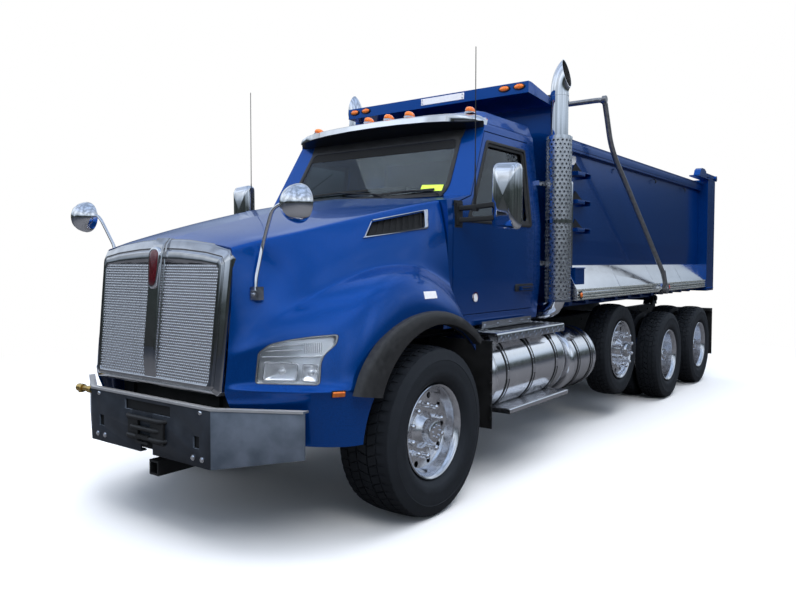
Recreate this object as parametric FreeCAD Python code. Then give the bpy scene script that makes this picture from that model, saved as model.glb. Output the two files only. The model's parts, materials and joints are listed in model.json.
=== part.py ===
"""Bonneted dump truck: steered front axle, raised lift axle, two driven axles, tipping body.

Millimetres. X is across the truck (+X its left side), Y runs from front to rear, Z is up.
Places are worked out from the front axle on the ground; every piece is then moved along Y
so that the origin lies on the ground under the middle of the truck.
"""
import FreeCAD, Part
import math
import os

V = FreeCAD.Vector
UP = V(0, 0, 1)
REARWARD = V(0, 1, 0)
LEFTWARD = V(1, 0, 0)

os.makedirs("parts", exist_ok=True)

# Whole truck
FRONT_REACH = 1330.0        # front axle to the nose of the tow jaw
BED_REAR = 6945.0
GATE_DEPTH = 150.0          # back of the body to the back of the gate's ribs
ORIGIN_Y = (BED_REAR + GATE_DEPTH - FRONT_REACH) / 2
FIT = 0.3                   # gap between pieces that seat on each other
RUN = 0.05                  # radial clearance of a pin in its bore

# Wheels and axles
STEER_TYRE_R = 546.0
STEER_TYRE_W = 420.0
STEER_WHEEL_X = 1035.0
KINGPIN_X = 905.0
ARM_IN = 110.0              # tie rod end from the kingpin, inwards and rearwards
ARM_BACK = 305.0
LIFT_Y = 3669.0
LIFT_Z = 709.0
LIFT_DROP_Z = 490.0         # middle of the lift axle, under the shaft
LIFT_TYRE_R = 480.0
LIFT_TYRE_W = 275.0
LIFT_WHEEL_X = 975.0
DRIVE_YS = (5041.0, 6414.0)
DRIVE_TYRE_R = 517.0
DRIVE_TYRE_W = 279.0
DUAL_PITCH = 330.0
DUAL_X = 912.0              # face where the two discs of a twin wheel meet
DISC_T = 14.0
HUB_R = 112.0
RIM_R = 286.0
FLANGE_R = 300.0
SPINDLE_R = 42.0
AXLE_R = 72.0
AXLE_END = 560.0
BOWL_R = 205.0              # casing round a driven axle's gears
NOSE_REACH = 125.0
NOSE_RISE = 60.0
TYRE_SIDES = 20
RIM_SIDES = 16
BAR_SIDES = 12               # flats that stand for a round bar
PIPE_SIDES = 16
ARCH_SIDES = 40

# Frame
RAIL_HALF = 432.0           # outer face of a frame rail from the middle
RAIL_H = 270.0
RAIL_FLANGE = 90.0
RAIL_T = 9.0
FRAME_TOP = 1020.0
FRAME_FRONT = -1100.0
FRAME_REAR = 6960.0
ENGINE_Y = (-700.0, 375.0)
ENGINE_Z = (700.0, 1640.0)
ENGINE_HALF = 322.0
FOOT_Y = (-260.0, -140.0)    # engine feet on the rails
GEARBOX_Z = 770.0

# Bumper
BUMPER_Y = -1293.0
BUMPER_HALF = 592.0
BUMPER_T = 12.0
BUMPER_FOLD = 40.0
BUMPER_WING = (1050.0, -1040.0)
BUMPER_Z = (489.0, 828.0)
BUMPER_WING_FOOT = 564.0
TOW_PIN_Y = -1308.0
TOW_PIN_R = 13.0

# Hood, grille and fenders
HOOD_REAR = 372.0
HOOD_T = 12.0
NOSE_Y = -1176.0            # back of the grille surround at its foot
NOSE_Z = 885.0
NOSE_LEAN = 0.1
GRILLE_T = 70.0
GRILLE_BAR = 25.0           # how far the centre bar stands proud
GRILLE_OPEN_X = (48.0, 560.0, 572.0)     # inner edge, outer edge at the foot and at the top
GRILLE_OPEN_Z = (985.0, 1650.0, 1610.0)  # foot, top at the inner edge, top at the outer edge
SLOT_COLUMNS = 6
SLOT_ROWS = 9
SLOT_SHARE = 0.62
HOOD_PIVOT = (-1145.0, 920.0)
MIRROR_HEAD = (900.0, -925.0, 1938.0)
HOOD_PIN_R = 12.0
HOOD_EAR_X = (385.0, 409.0)
HOOD_EAR_R = 22.0
HOOD_EAR_GAP = 6.0
ARCH_R = 700.0
FENDER_X = 1212.0
FLARE_X = 1250.0
FLARE_R = 800.0

# Cab
CAB_FRONT = 385.0
CAB_REAR = 1830.0
CAB_HALF = 1040.0
CAB_FLOOR = 1160.0
CAB_WALL = 45.0
ROOF_SPLIT = 2690.0
DOOR_FRONT = 448.0
DOOR_REAR = 1715.0
DOOR_GAP = 6.0
DOOR_FOOT = 1242.0
DOOR_TOP = 2625.0
GLASS_T = 6.0
HINGE_R = 6.0
AERIAL_TOP = 3120.0

# Tipping body
BED_FRONT = 2130.0
BED_HALF = 1100.0           # outer face of a side sheet
BED_WALL = 60.0
BED_FLOOR = 1330.0
FLOOR_T = 40.0
BED_TOP = 2700.0
RAIL_TOP_H = 95.0
RAIL_TOP_OUT = BED_HALF + 50.0
POST_Y = 6560.0
POST_OUT = BED_HALF + 135.0
SKIRT_STEP = 122.0
SKIRT_TOP = 1600.0
SKIRT_Z = (1290.0, 1385.0)   # rail along the skirt's foot
SHIELD_LIP_Y = 1690.0
SHIELD_TOP = 3137.0
SHIELD_HALF = 985.0
SILL_X = 400.0
SILL_H = 110.0
CROSS_H = 90.0
CROSS_PITCH = 390.0
HINGE_Y = 6850.0
HINGE_Z = 1105.0
HINGE_PIN_R = 35.0

# Tarp arms
ARM_PIVOT = (4574.0, 1330.0)
ARM_X = (BED_HALF + 162.0, BED_HALF + 202.0)
BOW = (2620.0, 3110.0)
ARM_W = 50.0
ARM_PIN_R = 20.0

# Tailgate
GATE_T = 80.0
GATE_HINGE = (7020.0, 2800.0)
GATE_PIN_R = 22.0

# Telescopic hoist
HOIST_FOOT = (2300.0, 870.0)
HOIST_CLOSED = 1450.0        # foot to the barrel's mouth
HOIST_R = (105.0, 88.0, 72.0, 56.0)
HOIST_HEAD = 180.0           # mouth to the eye, shut
HOIST_EYE = (HOIST_FOOT[0], HOIST_FOOT[1] + HOIST_CLOSED + HOIST_HEAD)
HOIST_STEP = 20.0            # each stage stands this far out of the last
HOUSE_TOP = HOIST_EYE[1] + 100.0     # hoist housing in the front of the body
HOUSE_HALF = 210.0
HOUSE_DEPTH = (250.0, 820.0)
HOUSE_WALL = 8.0
HOIST_PIN_R = 30.0
HOIST_BASE = 40.0           # barrel's end below its trunnions
TRUNNION_R = 32.0
EYE_EAR_X = 68.0            # inner face of the ears beside the hoist's eye


def save(node, *solids):
    """Writes one node, moved so that the truck's middle is at the origin."""
    shape = solids[0] if len(solids) == 1 else Part.makeCompound(list(solids))
    shape = shape.copy()
    shape.translate(V(0, -ORIGIN_Y, 0))
    shape.exportStep(os.path.join("parts", node + ".step"))


def box(x, y, z):
    """Block between the two values given for each axis."""
    x0, x1 = sorted(x)
    y0, y1 = sorted(y)
    z0, z1 = sorted(z)
    return Part.makeBox(x1 - x0, y1 - y0, z1 - z0, V(x0, y0, z0))


def rod(start, end, radius):
    """Round bar between two points."""
    run = V(*end) - V(*start)
    return Part.makeCylinder(radius, run.Length, V(*start), run)


def facet(corners):
    return Part.Face(Part.makePolygon(corners + corners[:1]))


def closed(faces):
    """Solid inside a closed set of flat faces."""
    solid = Part.makeSolid(Part.makeShell(faces))
    if solid.Volume < 0:
        solid.reverse()
    return solid


def bar_path(points, radius, sides=BAR_SIDES):
    """Bar through points with mitred bends, its round section drawn as flats."""
    path = [V(*p) for p in points]
    runs = [(b - a).normalize() for a, b in zip(path, path[1:])]
    start = runs[0]
    lead = LEFTWARD if abs(start.x) < 0.9 else UP
    across = start.cross(lead).normalize()
    up = start.cross(across)
    ring = [path[0] + across * (radius * math.cos(a)) + up * (radius * math.sin(a))
            for a in (2 * math.pi * (i + 0.5) / sides for i in range(sides))]
    rings = [ring]
    for i, run in enumerate(runs):
        after = runs[i + 1] if i + 1 < len(runs) else run
        mitre = run + after
        ring = [p + run * ((path[i + 1] - p).dot(mitre) / run.dot(mitre)) for p in ring]
        rings.append(ring)
    faces = [facet(rings[0]), facet(rings[-1])]
    for here, there in zip(rings, rings[1:]):
        faces += [facet([here[i - 1], here[i], there[i], there[i - 1]]) for i in range(sides)]
    return closed(faces)


def bar(start, end, radius, sides=BAR_SIDES):
    return bar_path([start, end], radius, sides)


def tube(start, end, outer, inner, sides=PIPE_SIDES):
    return bar(start, end, outer, sides).cut(bar(start, end, inner, sides))


def join(solids):
    whole = solids[0]
    if len(solids) > 1:
        whole = whole.fuse(list(solids[1:]))
    return whole.removeSplitter()


def mirrored(shape):
    return shape.mirror(V(0, 0, 0), LEFTWARD)


def both(shape):
    return [shape, mirrored(shape)]


def wire(points):
    corners = [V(*p) for p in points]
    return Part.makePolygon(corners + corners[:1])


def side_profile(points, x):
    """Solid with a (Y, Z) outline between two X values."""
    face = Part.Face(wire([(x[0], y, z) for y, z in points]))
    return face.extrude(V(x[1] - x[0], 0, 0))


def front_profile(points, y):
    """Solid with an (X, Z) outline between two Y values."""
    face = Part.Face(wire([(x, y[0], z) for x, z in points]))
    return face.extrude(V(0, y[1] - y[0], 0))


def plan_profile(points, z):
    """Solid with an (X, Y) outline between two heights."""
    face = Part.Face(wire([(x, y, z[0]) for x, y in points]))
    return face.extrude(V(0, 0, z[1] - z[0]))


def symmetric(half):
    """Outline from its left half, which starts and ends near the middle plane."""
    return half + [(-x, z) for x, z in reversed(half) if x]


def inset(points, distance):
    """Outline moved inwards by a distance."""
    flat = wire([(a, b, 0) for a, b in points])
    smaller = flat.makeOffset2D(-distance, join=2)
    if smaller.BoundBox.XLength > flat.BoundBox.XLength:
        smaller = flat.makeOffset2D(distance, join=2)
    ordered = Part.Wire(Part.__sortEdges__(smaller.Edges))
    return [(v.X, v.Y) for v in ordered.OrderedVertexes]


def turned(profile, sides, centre):
    """Ring or disc turned about an X line, with flat sides; profile holds (radius, x) corners.

    Radii are across the flats, so a tyre stands at its radius on a flat.
    """
    cx, cy, cz = centre
    grow = 1 / math.cos(math.pi / sides)
    rings = []
    for i in range(sides):
        angle = 2 * math.pi * (i + 0.5) / sides
        rings.append([V(cx + x, cy + r * grow * math.sin(angle), cz - r * grow * math.cos(angle))
                      for r, x in profile])
    faces = []
    count = len(profile)
    for i in range(sides):
        here, there = rings[i - 1], rings[i]
        for j in range(count):
            k = (j + 1) % count
            quad = [here[j], here[k], there[k], there[j]]
            corners = [p for n, p in enumerate(quad) if (p - quad[n - 1]).Length > 1e-6]
            if len(corners) > 2:
                faces.append(facet(corners))
    return closed(faces)


def turned_on_y(profile, sides, centre):
    """The same about a Y line; profile holds (radius, y) corners."""
    ring = turned(profile, sides, (0, 0, 0))
    ring.rotate(V(0, 0, 0), UP, 90)
    ring.translate(V(*centre))
    return ring


def skin_normals(rows):
    """Outward direction at each point of a grid whose rows run rearwards, from right to left."""
    sums = [[V(0, 0, 0) for _ in row] for row in rows]
    for i, (inner, outer) in enumerate(zip(rows, rows[1:])):
        for j in range(min(len(inner), len(outer)) - 1):
            normal = (outer[j + 1] - inner[j]).cross(inner[j + 1] - outer[j])
            for place in ((i, j), (i, j + 1), (i + 1, j), (i + 1, j + 1)):
                sums[place[0]][place[1]] += normal
    return [[n.normalize() for n in row] for row in sums]


def skin(rows, normals, thickness):
    """Sheet of flat triangles over a grid of points, made inwards by its thickness."""
    inner = [[p - n * thickness for p, n in zip(row, line)] for row, line in zip(rows, normals)]
    loops = []
    for i, (a, b) in enumerate(zip(rows, rows[1:])):
        for j in range(min(len(a), len(b)) - 1):
            loops.append(((i, j), (i + 1, j), (i + 1, j + 1)))
            loops.append(((i, j), (i + 1, j + 1), (i, j + 1)))
    faces = [facet([rows[i][j] for i, j in loop]) for loop in loops]
    faces += [facet([inner[i][j] for i, j in reversed(loop)]) for loop in loops]
    edges = {(p, q) for loop in loops for p, q in zip(loop, loop[1:] + loop[:1])}
    for p, q in sorted(edges):
        if (q, p) in edges:
            continue
        near, far = rows[p[0]][p[1]], rows[q[0]][q[1]]
        near_in, far_in = inner[p[0]][p[1]], inner[q[0]][q[1]]
        if p < q:
            faces += [facet([near, near_in, far_in]), facet([near, far_in, far])]
        else:
            faces += [facet([near, near_in, far]), facet([near_in, far_in, far])]
    return closed(faces)


# Wheels

def tyre(radius, width, centre):
    """Tyre ring: crowned tread, bulging sidewalls and a bead on the rim seat."""
    half = width / 2
    seat = RIM_R / math.cos(math.pi / RIM_SIDES) + FIT
    bulge = seat + (radius - seat) * 0.5
    tread = half * 0.84
    bead = half * 0.66
    profile = [(radius, -tread), (radius, tread), (bulge + 40, half), (bulge - 40, half),
               (seat, bead), (seat, -bead), (bulge - 40, -half), (bulge + 40, -half)]
    return turned(profile, TYRE_SIDES, centre)


def rim(width, dish, hub_out, centre, outward, bore_end):
    """Disc wheel with its hub: dish is how far the disc's face lies behind the outer lip."""
    lip = width / 2
    face = lip - dish
    profile = [(0, hub_out), (72, hub_out), (108, face + 22), (252, face), (272, lip - 26),
               (FLANGE_R, lip), (RIM_R, lip - 22), (RIM_R, 22 - lip), (FLANGE_R, -lip), (266, -lip),
               (256, face - DISC_T),
               (HUB_R, face - DISC_T), (HUB_R, face - 90), (SPINDLE_R + RUN, face - 90),
               (SPINDLE_R + RUN, bore_end), (0, bore_end)]
    if outward < 0:
        profile = [(r, -x) for r, x in profile]
    return turned(profile, RIM_SIDES, centre)


def inner_rim(width, centre, outward):
    """Inner wheel of a twin, its disc against the back of the outer wheel's disc."""
    lip = width / 2
    seat = DUAL_PITCH / 2 - FIT
    profile = [(FLANGE_R, -lip), (RIM_R, 22 - lip), (RIM_R, lip - 22), (FLANGE_R, lip), (272, lip),
               (256, seat), (HUB_R + FIT, seat),
               (HUB_R + FIT, seat - DISC_T), (250, seat - DISC_T), (264, -lip)]
    if outward < 0:
        profile = [(r, -x) for r, x in profile]
    return turned(profile, RIM_SIDES, centre)


def wheels():
    for side, sign in (("left", 1), ("right", -1)):
        centre = (sign * STEER_WHEEL_X, 0, STEER_TYRE_R)
        save("tyre_front_" + side, tyre(STEER_TYRE_R, STEER_TYRE_W, centre))
        save("rim_front_" + side, rim(336, 105, 175, centre, sign, 60))
        centre = (sign * LIFT_WHEEL_X, LIFT_Y, LIFT_Z)
        save("tyre_lift_" + side, tyre(LIFT_TYRE_R, LIFT_TYRE_W, centre))
        save("rim_lift_" + side, rim(256, 40, 205, centre, sign, 60))
        for number, y in enumerate(DRIVE_YS, 1):
            outer = (sign * (DUAL_X + DUAL_PITCH / 2), y, DRIVE_TYRE_R)
            inner = (sign * (DUAL_X - DUAL_PITCH / 2), y, DRIVE_TYRE_R)
            name = "_drive%d_%s" % (number, side)
            save("tyres" + name, tyre(DRIVE_TYRE_R, DRIVE_TYRE_W, outer),
                 tyre(DRIVE_TYRE_R, DRIVE_TYRE_W, inner))
            dish = DUAL_PITCH / 2 + 120 - DISC_T
            save("rims" + name, rim(240, dish, 70, outer, sign, -40), inner_rim(240, inner, sign))


# Axles and steering

def front_axle():
    """Dropped beam with a kingpin eye at each end."""
    beam_z = STEER_TYRE_R
    half = KINGPIN_X - 60
    web = front_profile(symmetric([(0, beam_z - 130), (520, beam_z - 130), (half - 60, beam_z - 45),
                                   (half, beam_z - 45), (half, beam_z + 45), (half - 90, beam_z + 45),
                                   (500, beam_z - 30), (0, beam_z - 30)]), (-50, 50))
    eyes = []
    for sign in (1, -1):
        eye = bar((sign * KINGPIN_X, 0, beam_z - 55), (sign * KINGPIN_X, 0, beam_z + 55), 62)
        bore = rod((sign * KINGPIN_X, 0, beam_z - 60), (sign * KINGPIN_X, 0, beam_z + 60), 25 + RUN)
        neck = box((sign * (half - 10), sign * (KINGPIN_X - 20)), (-45, 45), (beam_z - 45, beam_z + 45))
        eyes.append((eye.fuse(neck), bore))
    whole = join([web] + [e for e, _ in eyes]).cut(join([b for _, b in eyes]))
    return whole


def front_springs():
    """Leaf spring under each rail with its two hangers."""
    spring_z = STEER_TYRE_R - 30
    leaves = []
    for sign in (1, -1):
        x = (sign * (RAIL_HALF - 86), sign * (RAIL_HALF + 4))
        top = spring_z + 150
        arc = [(-760, top), (-350, spring_z + 70), (0, spring_z + 55), (350, spring_z + 70), (700, top),
               (700, top - 22), (350, spring_z + 25), (60, spring_z + FIT), (-60, spring_z + FIT),
               (-350, spring_z + 25), (-760, top - 22)]
        leaf = side_profile(arc, x)
        hangers = [box(x, (y - 40, y + 40), (top - 20, FRAME_TOP - RAIL_H - FIT)) for y in (-720, 660)]
        leaves.append(join([leaf] + hangers))
    return leaves


def knuckle(sign):
    """Yoke round the axle eye with its kingpin, spindle and steering arm."""
    z = STEER_TYRE_R
    x = sign * KINGPIN_X
    pin = rod((x, 0, z - 100), (x, 0, z + 100), 25)
    lugs = [bar((x, 0, z + a), (x, 0, z + b), 52) for a, b in ((60, 100), (-100, -60))]
    back = box((x + sign * 66, x + sign * 92), (-70, 70), (z - 100, z + 100))
    ears = [box((x, x + sign * 70), (-45, 45), (z + a, z + b)) for a, b in ((60, 100), (-100, -60))]
    spindle = rod((x + sign * 80, 0, z), (sign * (STEER_WHEEL_X + 50), 0, z), SPINDLE_R)
    arm = plan_profile([(x - sign * 25, 35), (x + sign * 20, 35), (x - sign * (ARM_IN - 30), ARM_BACK - 5),
                        (x - sign * (ARM_IN - 15), ARM_BACK + 28), (x - sign * (ARM_IN + 20), ARM_BACK + 28),
                        (x - sign * (ARM_IN + 32), ARM_BACK - 5)], (z - 100, z - 72))
    return join([pin, back, spindle, arm] + lugs + ears)


def steering():
    for side, sign in (("left", 1), ("right", -1)):
        save("knuckle_" + side, knuckle(sign))
    z = STEER_TYRE_R - 100 - FIT
    x = KINGPIN_X - ARM_IN
    tie = join([bar((-x, ARM_BACK, z - 25), (x, ARM_BACK, z - 25), 20)]
               + [rod((s * x, ARM_BACK, z - 50), (s * x, ARM_BACK, z), 26) for s in (1, -1)])
    save("tie_rod", tie)


def drive_axles():
    """Two axles, each with its round casing and the nose that the shaft enters."""
    z = DRIVE_TYRE_R
    reach = DUAL_X + DUAL_PITCH / 2 - 75
    axles = []
    for y in DRIVE_YS:
        half = [(0, AXLE_END), (AXLE_R, AXLE_END), (AXLE_R, 230), (150, 190), (BOWL_R, 90)]
        casing = turned([(r, -x) for r, x in half] + [(r, x) for r, x in reversed(half)], PIPE_SIDES, (0, y, z))
        nose = bar((0, y - BOWL_R - NOSE_REACH, z + NOSE_RISE), (0, y, z + NOSE_RISE), 80)
        spindles = [rod((s * (AXLE_END - 20), y, z), (s * reach, y, z), SPINDLE_R) for s in (1, -1)]
        axles.append(join([casing, nose] + spindles))
    return axles


def rear_beams():
    """Walking beam on each side, from its saddle on the frame to both driven axles."""
    middle = sum(DRIVE_YS) / 2
    low = DRIVE_TYRE_R + AXLE_R + FIT
    beams = []
    for sign in (1, -1):
        x = (sign * (RAIL_HALF - 70), sign * (RAIL_HALF + 20))
        beam = side_profile([(DRIVE_YS[0] - 90, low), (DRIVE_YS[0] + 90, low), (middle, low - 60),
                             (DRIVE_YS[1] - 90, low), (DRIVE_YS[1] + 90, low), (DRIVE_YS[1] + 90, low + 60),
                             (middle + 160, low + 110), (middle + 110, FRAME_TOP - RAIL_H - FIT),
                             (middle - 110, FRAME_TOP - RAIL_H - FIT), (middle - 160, low + 110),
                             (DRIVE_YS[0] - 90, low + 60)], x)
        beams.append(beam)
    return beams


def lift_axle():
    half = [(760, LIFT_Y, LIFT_Z), (640, LIFT_Y, LIFT_Z), (460, LIFT_Y, LIFT_DROP_Z)]
    tube = bar_path(half + [(-x, y, z) for x, y, z in reversed(half)], 62)
    pieces = [tube]
    for sign in (1, -1):
        pieces.append(rod((sign * 700, LIFT_Y, LIFT_Z), (sign * (LIFT_WHEEL_X + 50), LIFT_Y, LIFT_Z), SPINDLE_R))
    for sign in (1, -1):
        x = (sign * (RAIL_HALF + 20), sign * (RAIL_HALF + 100))
        arm = side_profile([(LIFT_Y - 620, LIFT_Z + 160), (LIFT_Y - 620, LIFT_Z + 260),
                            (LIFT_Y - 520, LIFT_Z + 260), (LIFT_Y + 60, LIFT_Z + 70),
                            (LIFT_Y + 60, LIFT_Z - 60), (LIFT_Y - 60, LIFT_Z - 60)], x)
        foot = box((sign * (RAIL_HALF + FIT), sign * (RAIL_HALF + 60)), (LIFT_Y - 620, LIFT_Y - 520),
                   (LIFT_Z + 170, LIFT_Z + 280))
        pieces += [arm, foot]
    return join(pieces)


def driveline():
    """Gearbox behind the engine and the shafts to the two driven axles."""
    z = GEARBOX_Z
    box_end = 1180.0
    case = bar((0, ENGINE_Y[1] + FIT, z), (0, box_end, z), 180, PIPE_SIDES)
    joint_z = DRIVE_TYRE_R + NOSE_RISE
    nose = BOWL_R + NOSE_REACH + FIT
    first = bar((0, box_end - 10, z), (0, DRIVE_YS[0] - nose - 4, joint_z), 50)
    second = bar((0, DRIVE_YS[0] + BOWL_R, joint_z), (0, DRIVE_YS[1] - nose, joint_z), 50)
    return [join([case, first]), second]


# Frame, bumper and engine

def rail(sign):
    """Channel rail with its open side to the middle."""
    outer = box((sign * (RAIL_HALF - RAIL_FLANGE), sign * RAIL_HALF), (FRAME_FRONT, FRAME_REAR),
                (FRAME_TOP - RAIL_H, FRAME_TOP))
    hollow = box((sign * (RAIL_HALF - RAIL_FLANGE - 1), sign * (RAIL_HALF - RAIL_T)),
                 (FRAME_FRONT - 1, FRAME_REAR + 1), (FRAME_TOP - RAIL_H + RAIL_T, FRAME_TOP - RAIL_T))
    return outer.cut(hollow)


def frame_members():
    inner = RAIL_HALF - RAIL_T - FIT
    members = []
    for y in (-1000.0, 1500.0, 2700.0, 3400.0, 4400.0, 5727.0, 6900.0):
        members.append(box((-inner, inner), (y - 45, y + 45), (FRAME_TOP - 200, FRAME_TOP - 60)))
    return members


def bumper():
    """Plate bumper with swept wings, folded top and bottom edges and a window in its upper middle."""
    wing_x, wing_y = BUMPER_WING
    front = [(-wing_x, wing_y), (-BUMPER_HALF, BUMPER_Y), (BUMPER_HALF, BUMPER_Y), (wing_x, wing_y)]
    back = [(x, y + BUMPER_T) for x, y in reversed(front)]
    flange = [(x, y + BUMPER_FOLD) for x, y in reversed(front)]
    low, high = BUMPER_Z
    plate = plan_profile(front + back, (low, high))
    outline = front_profile(symmetric([(BUMPER_HALF, low), (wing_x, BUMPER_WING_FOOT), (wing_x, high)]),
                            (BUMPER_Y - 10, wing_y + 80))
    plate = plate.common(outline)
    top = plan_profile(front + flange, (high - BUMPER_T, high))
    middle = box((-BUMPER_HALF, BUMPER_HALF), (BUMPER_Y - 5, wing_y + 80), (low - 1, high + 1))
    bottom = plan_profile(front + flange, (low, low + BUMPER_T)).common(middle)
    window = box((-150, 60), (BUMPER_Y - 5, BUMPER_Y + BUMPER_T + 1), (690, 760))
    notch = box((-60 - FIT, 60 + FIT), (BUMPER_Y - 5, BUMPER_Y + 70), (low - 1, 600 + FIT))
    return join([plate, top, bottom]).cut(join([window, notch]))


def front_end():
    save("bumper", bumper())
    horns = [box((s * 300, s * 380), (BUMPER_Y + BUMPER_T, FRAME_FRONT - FIT), (640, 740)) for s in (1, -1)]
    brackets = [box((s * 300, s * (RAIL_HALF - 20)), (FRAME_FRONT - FIT, FRAME_FRONT + 260),
                    (560, FRAME_TOP - RAIL_H - FIT)) for s in (1, -1)]
    tube = box((-45, 45), (-1245, -960), (345, 435))
    hollow = box((-32, 32), (-1246, -959), (358, 422))
    cross = box((-412, 412), (-1100, -1010), (435, 560))
    jaw = box((-60, 60), (-FRONT_REACH, BUMPER_Y + 70), (552, 600))
    jaw = jaw.cut(box((-61, 61), (-FRONT_REACH - 1, BUMPER_Y + 8), (564, 588)))
    jaw = jaw.cut(rod((0, TOW_PIN_Y, 540), (0, TOW_PIN_Y, 610), TOW_PIN_R))
    save("tow_hitch", join([tube.cut(hollow), cross] + brackets + horns), jaw)


def engine():
    """Engine as one plain block between the rails, on a foot each side."""
    block = box((-ENGINE_HALF, ENGINE_HALF), ENGINE_Y, ENGINE_Z)
    feet = [box((s * (ENGINE_HALF - 10), s * RAIL_HALF), FOOT_Y, (FRAME_TOP + FIT, FRAME_TOP + 40)) for s in (1, -1)]
    return join([block] + feet)


def radiator():
    return box((-470, 470), (-1020, -900), (FRAME_TOP + FIT, 1600))


# Hood, grille and fenders

def nose_y(z):
    """Front edge of the hood, which leans back."""
    return NOSE_Y + NOSE_LEAN * (z - NOSE_Z)


def on_nose(x, z, ahead=0.0):
    return (x, nose_y(z) - ahead, z)


# Lines of the left half, each from the nose to the rear
SHOULDER = (on_nose(610, 1705), (670, -980, 1755), (745, -800, 1795), (790, -600, 1845), (835, -400, 1892),
            (875, -180, 1942), (910, 40, 1990), (945, 220, 2028), (970, HOOD_REAR, 2055))
VALLEY = (on_nose(650, 1130), (735, -1130, 1180), (820, -1030, 1300), (900, -830, 1430), (945, -550, 1540),
          (985, -280, 1605), (1030, -20, 1610), (1055, 170, 1560), (1070, HOOD_REAR, 1460))
BULGE = (on_nose(652, 1100), (765, -1120, 1155), (880, -985, 1275), (985, -790, 1405), (1045, -540, 1520),
         (1080, -280, 1585), (1100, -20, 1580), (1110, 170, 1510), (1125, 340, 1400), (1120, 500, 1170))
CREST = (on_nose(655, 1060), (785, -1100, 1125), (930, -960, 1205), (1090, -770, 1275), (1150, -530, 1475),
         (1160, -280, 1530), (1160, -30, 1510), (1165, 170, 1430), (1175, 340, 1335), (1170, 500, 1120))
OUTER = (on_nose(655, 1000), (775, -1115, 1030), (920, -990, 1060), (1105, -830, 1090), (1200, -590, 1270),
         (FENDER_X, -300, 1390), (FENDER_X, -30, 1380), (FENDER_X, 170, 1310), (1210, 340, 1220), (1200, 500, 1060))
LEDGE = (on_nose(655, 960), (770, -1125, 955), (920, -1010, 950), (1110, -860, 945), (1205, -660, 1000),
         (FENDER_X, -300, 1100), (FENDER_X, -30, 1100), (FENDER_X, 170, 1100), (1210, 340, 1050), (1200, 500, 1000))
LIP = (on_nose(660, 930, 6), (780, -1152, 925), (930, -1045, 920), (1130, -890, 915), (1210, -700, 920),
       (FENDER_X, -300, 920), (FENDER_X, -30, 920), (FENDER_X, 170, 920), (1210, 340, 920), (1200, 500, 920))
UNDER = (on_nose(655, 890), (770, -1130, 880), (920, -1020, 875), (1110, -870, 870), (1200, -700, 870),
         (FENDER_X, -300, 850), (FENDER_X, -30, 850), (FENDER_X, 170, 850), (1210, 340, 850), (1200, 500, 850))
FOOT = ((660, -1100, 630), (770, -1070, 620), (920, -980, 610), (1110, -840, 600), (1195, -700, 600),
        (FENDER_X, -300, 600), (FENDER_X, -30, 600), (FENDER_X, 170, 600), (1210, 340, 600), (1200, 500, 600))
CROWN_RISE = 55.0           # middle of the hood above its shoulder
CROWN_LINES = ((0.0, 1.0), (0.5, 0.72), (0.9, 0.24))     # share of the shoulder's width, share of the rise
FLANK_LINES = ((0.14, 12.0), (0.55, 18.0), (0.90, 0.0))  # share of the way to the valley, swell outwards
LAMP_OUTLINE = ((722, 975), (752, 940), (1055, 925), (1082, 960), (1125, 1235), (1090, 1250), (860, 1185),
                (765, 1140), (732, 1100))
LAMP_DEPTH = 45.0
ARCH_Z = 537.0


def hood_lines():
    """Rows of points from the middle of the crown out and down to the fender's foot."""
    lines = []
    for width, rise in CROWN_LINES:
        line = [(x * width, y, z + CROWN_RISE * rise) for x, y, z in SHOULDER]
        lines.append([on_nose(line[0][0], line[0][2])] + line[1:])
    lines.append(SHOULDER)
    for share, swell in FLANK_LINES:
        line = [tuple(p + (q - p) * share for p, q in zip(a, b)) for a, b in zip(SHOULDER, VALLEY)]
        line = [(x + swell, y, z) for x, y, z in line]
        lines.append([on_nose(line[0][0] - swell / 2, line[0][2])] + line[1:])
    lines += [VALLEY, BULGE, CREST, OUTER, LEDGE, LIP, UNDER, FOOT]
    return [[V(*p) for p in line] for line in lines]


def hood_grid():
    """Lines of both halves, right to left, with their normals and the place of the left bulge."""
    left = hood_lines()
    right = [[V(-p.x, p.y, p.z) for p in line] for line in reversed(left[1:])]
    rows = right + left
    return rows, skin_normals(rows), len(left) - 1


SPLIT = len(CROWN_LINES) + 1 + len(FLANK_LINES) + 1     # lines from the crown's middle to the bulge


def hood_top():
    rows, normals, middle = hood_grid()
    span = slice(middle - SPLIT, middle + SPLIT + 1)
    length = len(SHOULDER)
    return skin([row[:length] for row in rows[span]], [line[:length] for line in normals[span]], HOOD_T)


def fender_skin(thickness, lines=None):
    """Left fender from the bulge to its foot, or its first lines alone."""
    rows, normals, middle = hood_grid()
    first = middle + SPLIT
    last = first + lines if lines else len(rows)
    return skin(rows[first:last], normals[first:last], thickness)


def arch(x):
    return bar((x[0], 0, ARCH_Z), (x[1], 0, ARCH_Z), ARCH_R, ARCH_SIDES)


def fender():
    lamp = front_profile(LAMP_OUTLINE, (-1300, -600))
    return biggest(fender_skin(HOOD_T).cut(arch((500, FENDER_X + 60))).cut(lamp))


def headlamp():
    """Lens and bucket in the fender's opening, flush with its skin."""
    thick = fender_skin(HOOD_T + LAMP_DEPTH, 5)
    return biggest(thick.common(front_profile(inset(LAMP_OUTLINE, FIT), (-1300, -600))))


def flare():
    """Wide lip round the arch, broader at its front."""
    outer = bar((1120, -70, ARCH_Z + 3), (FLARE_X, -70, ARCH_Z + 3), FLARE_R, ARCH_SIDES)
    ring = outer.cut(arch((1119, FLARE_X + 1)))
    keep = side_profile([(-900, 860), (-560, 860), (0, ARCH_Z), (470, 1090), (640, 1250), (640, 1500),
                         (-900, 1500)], (1100, FLARE_X + 10))
    return biggest(ring.common(keep))


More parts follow.
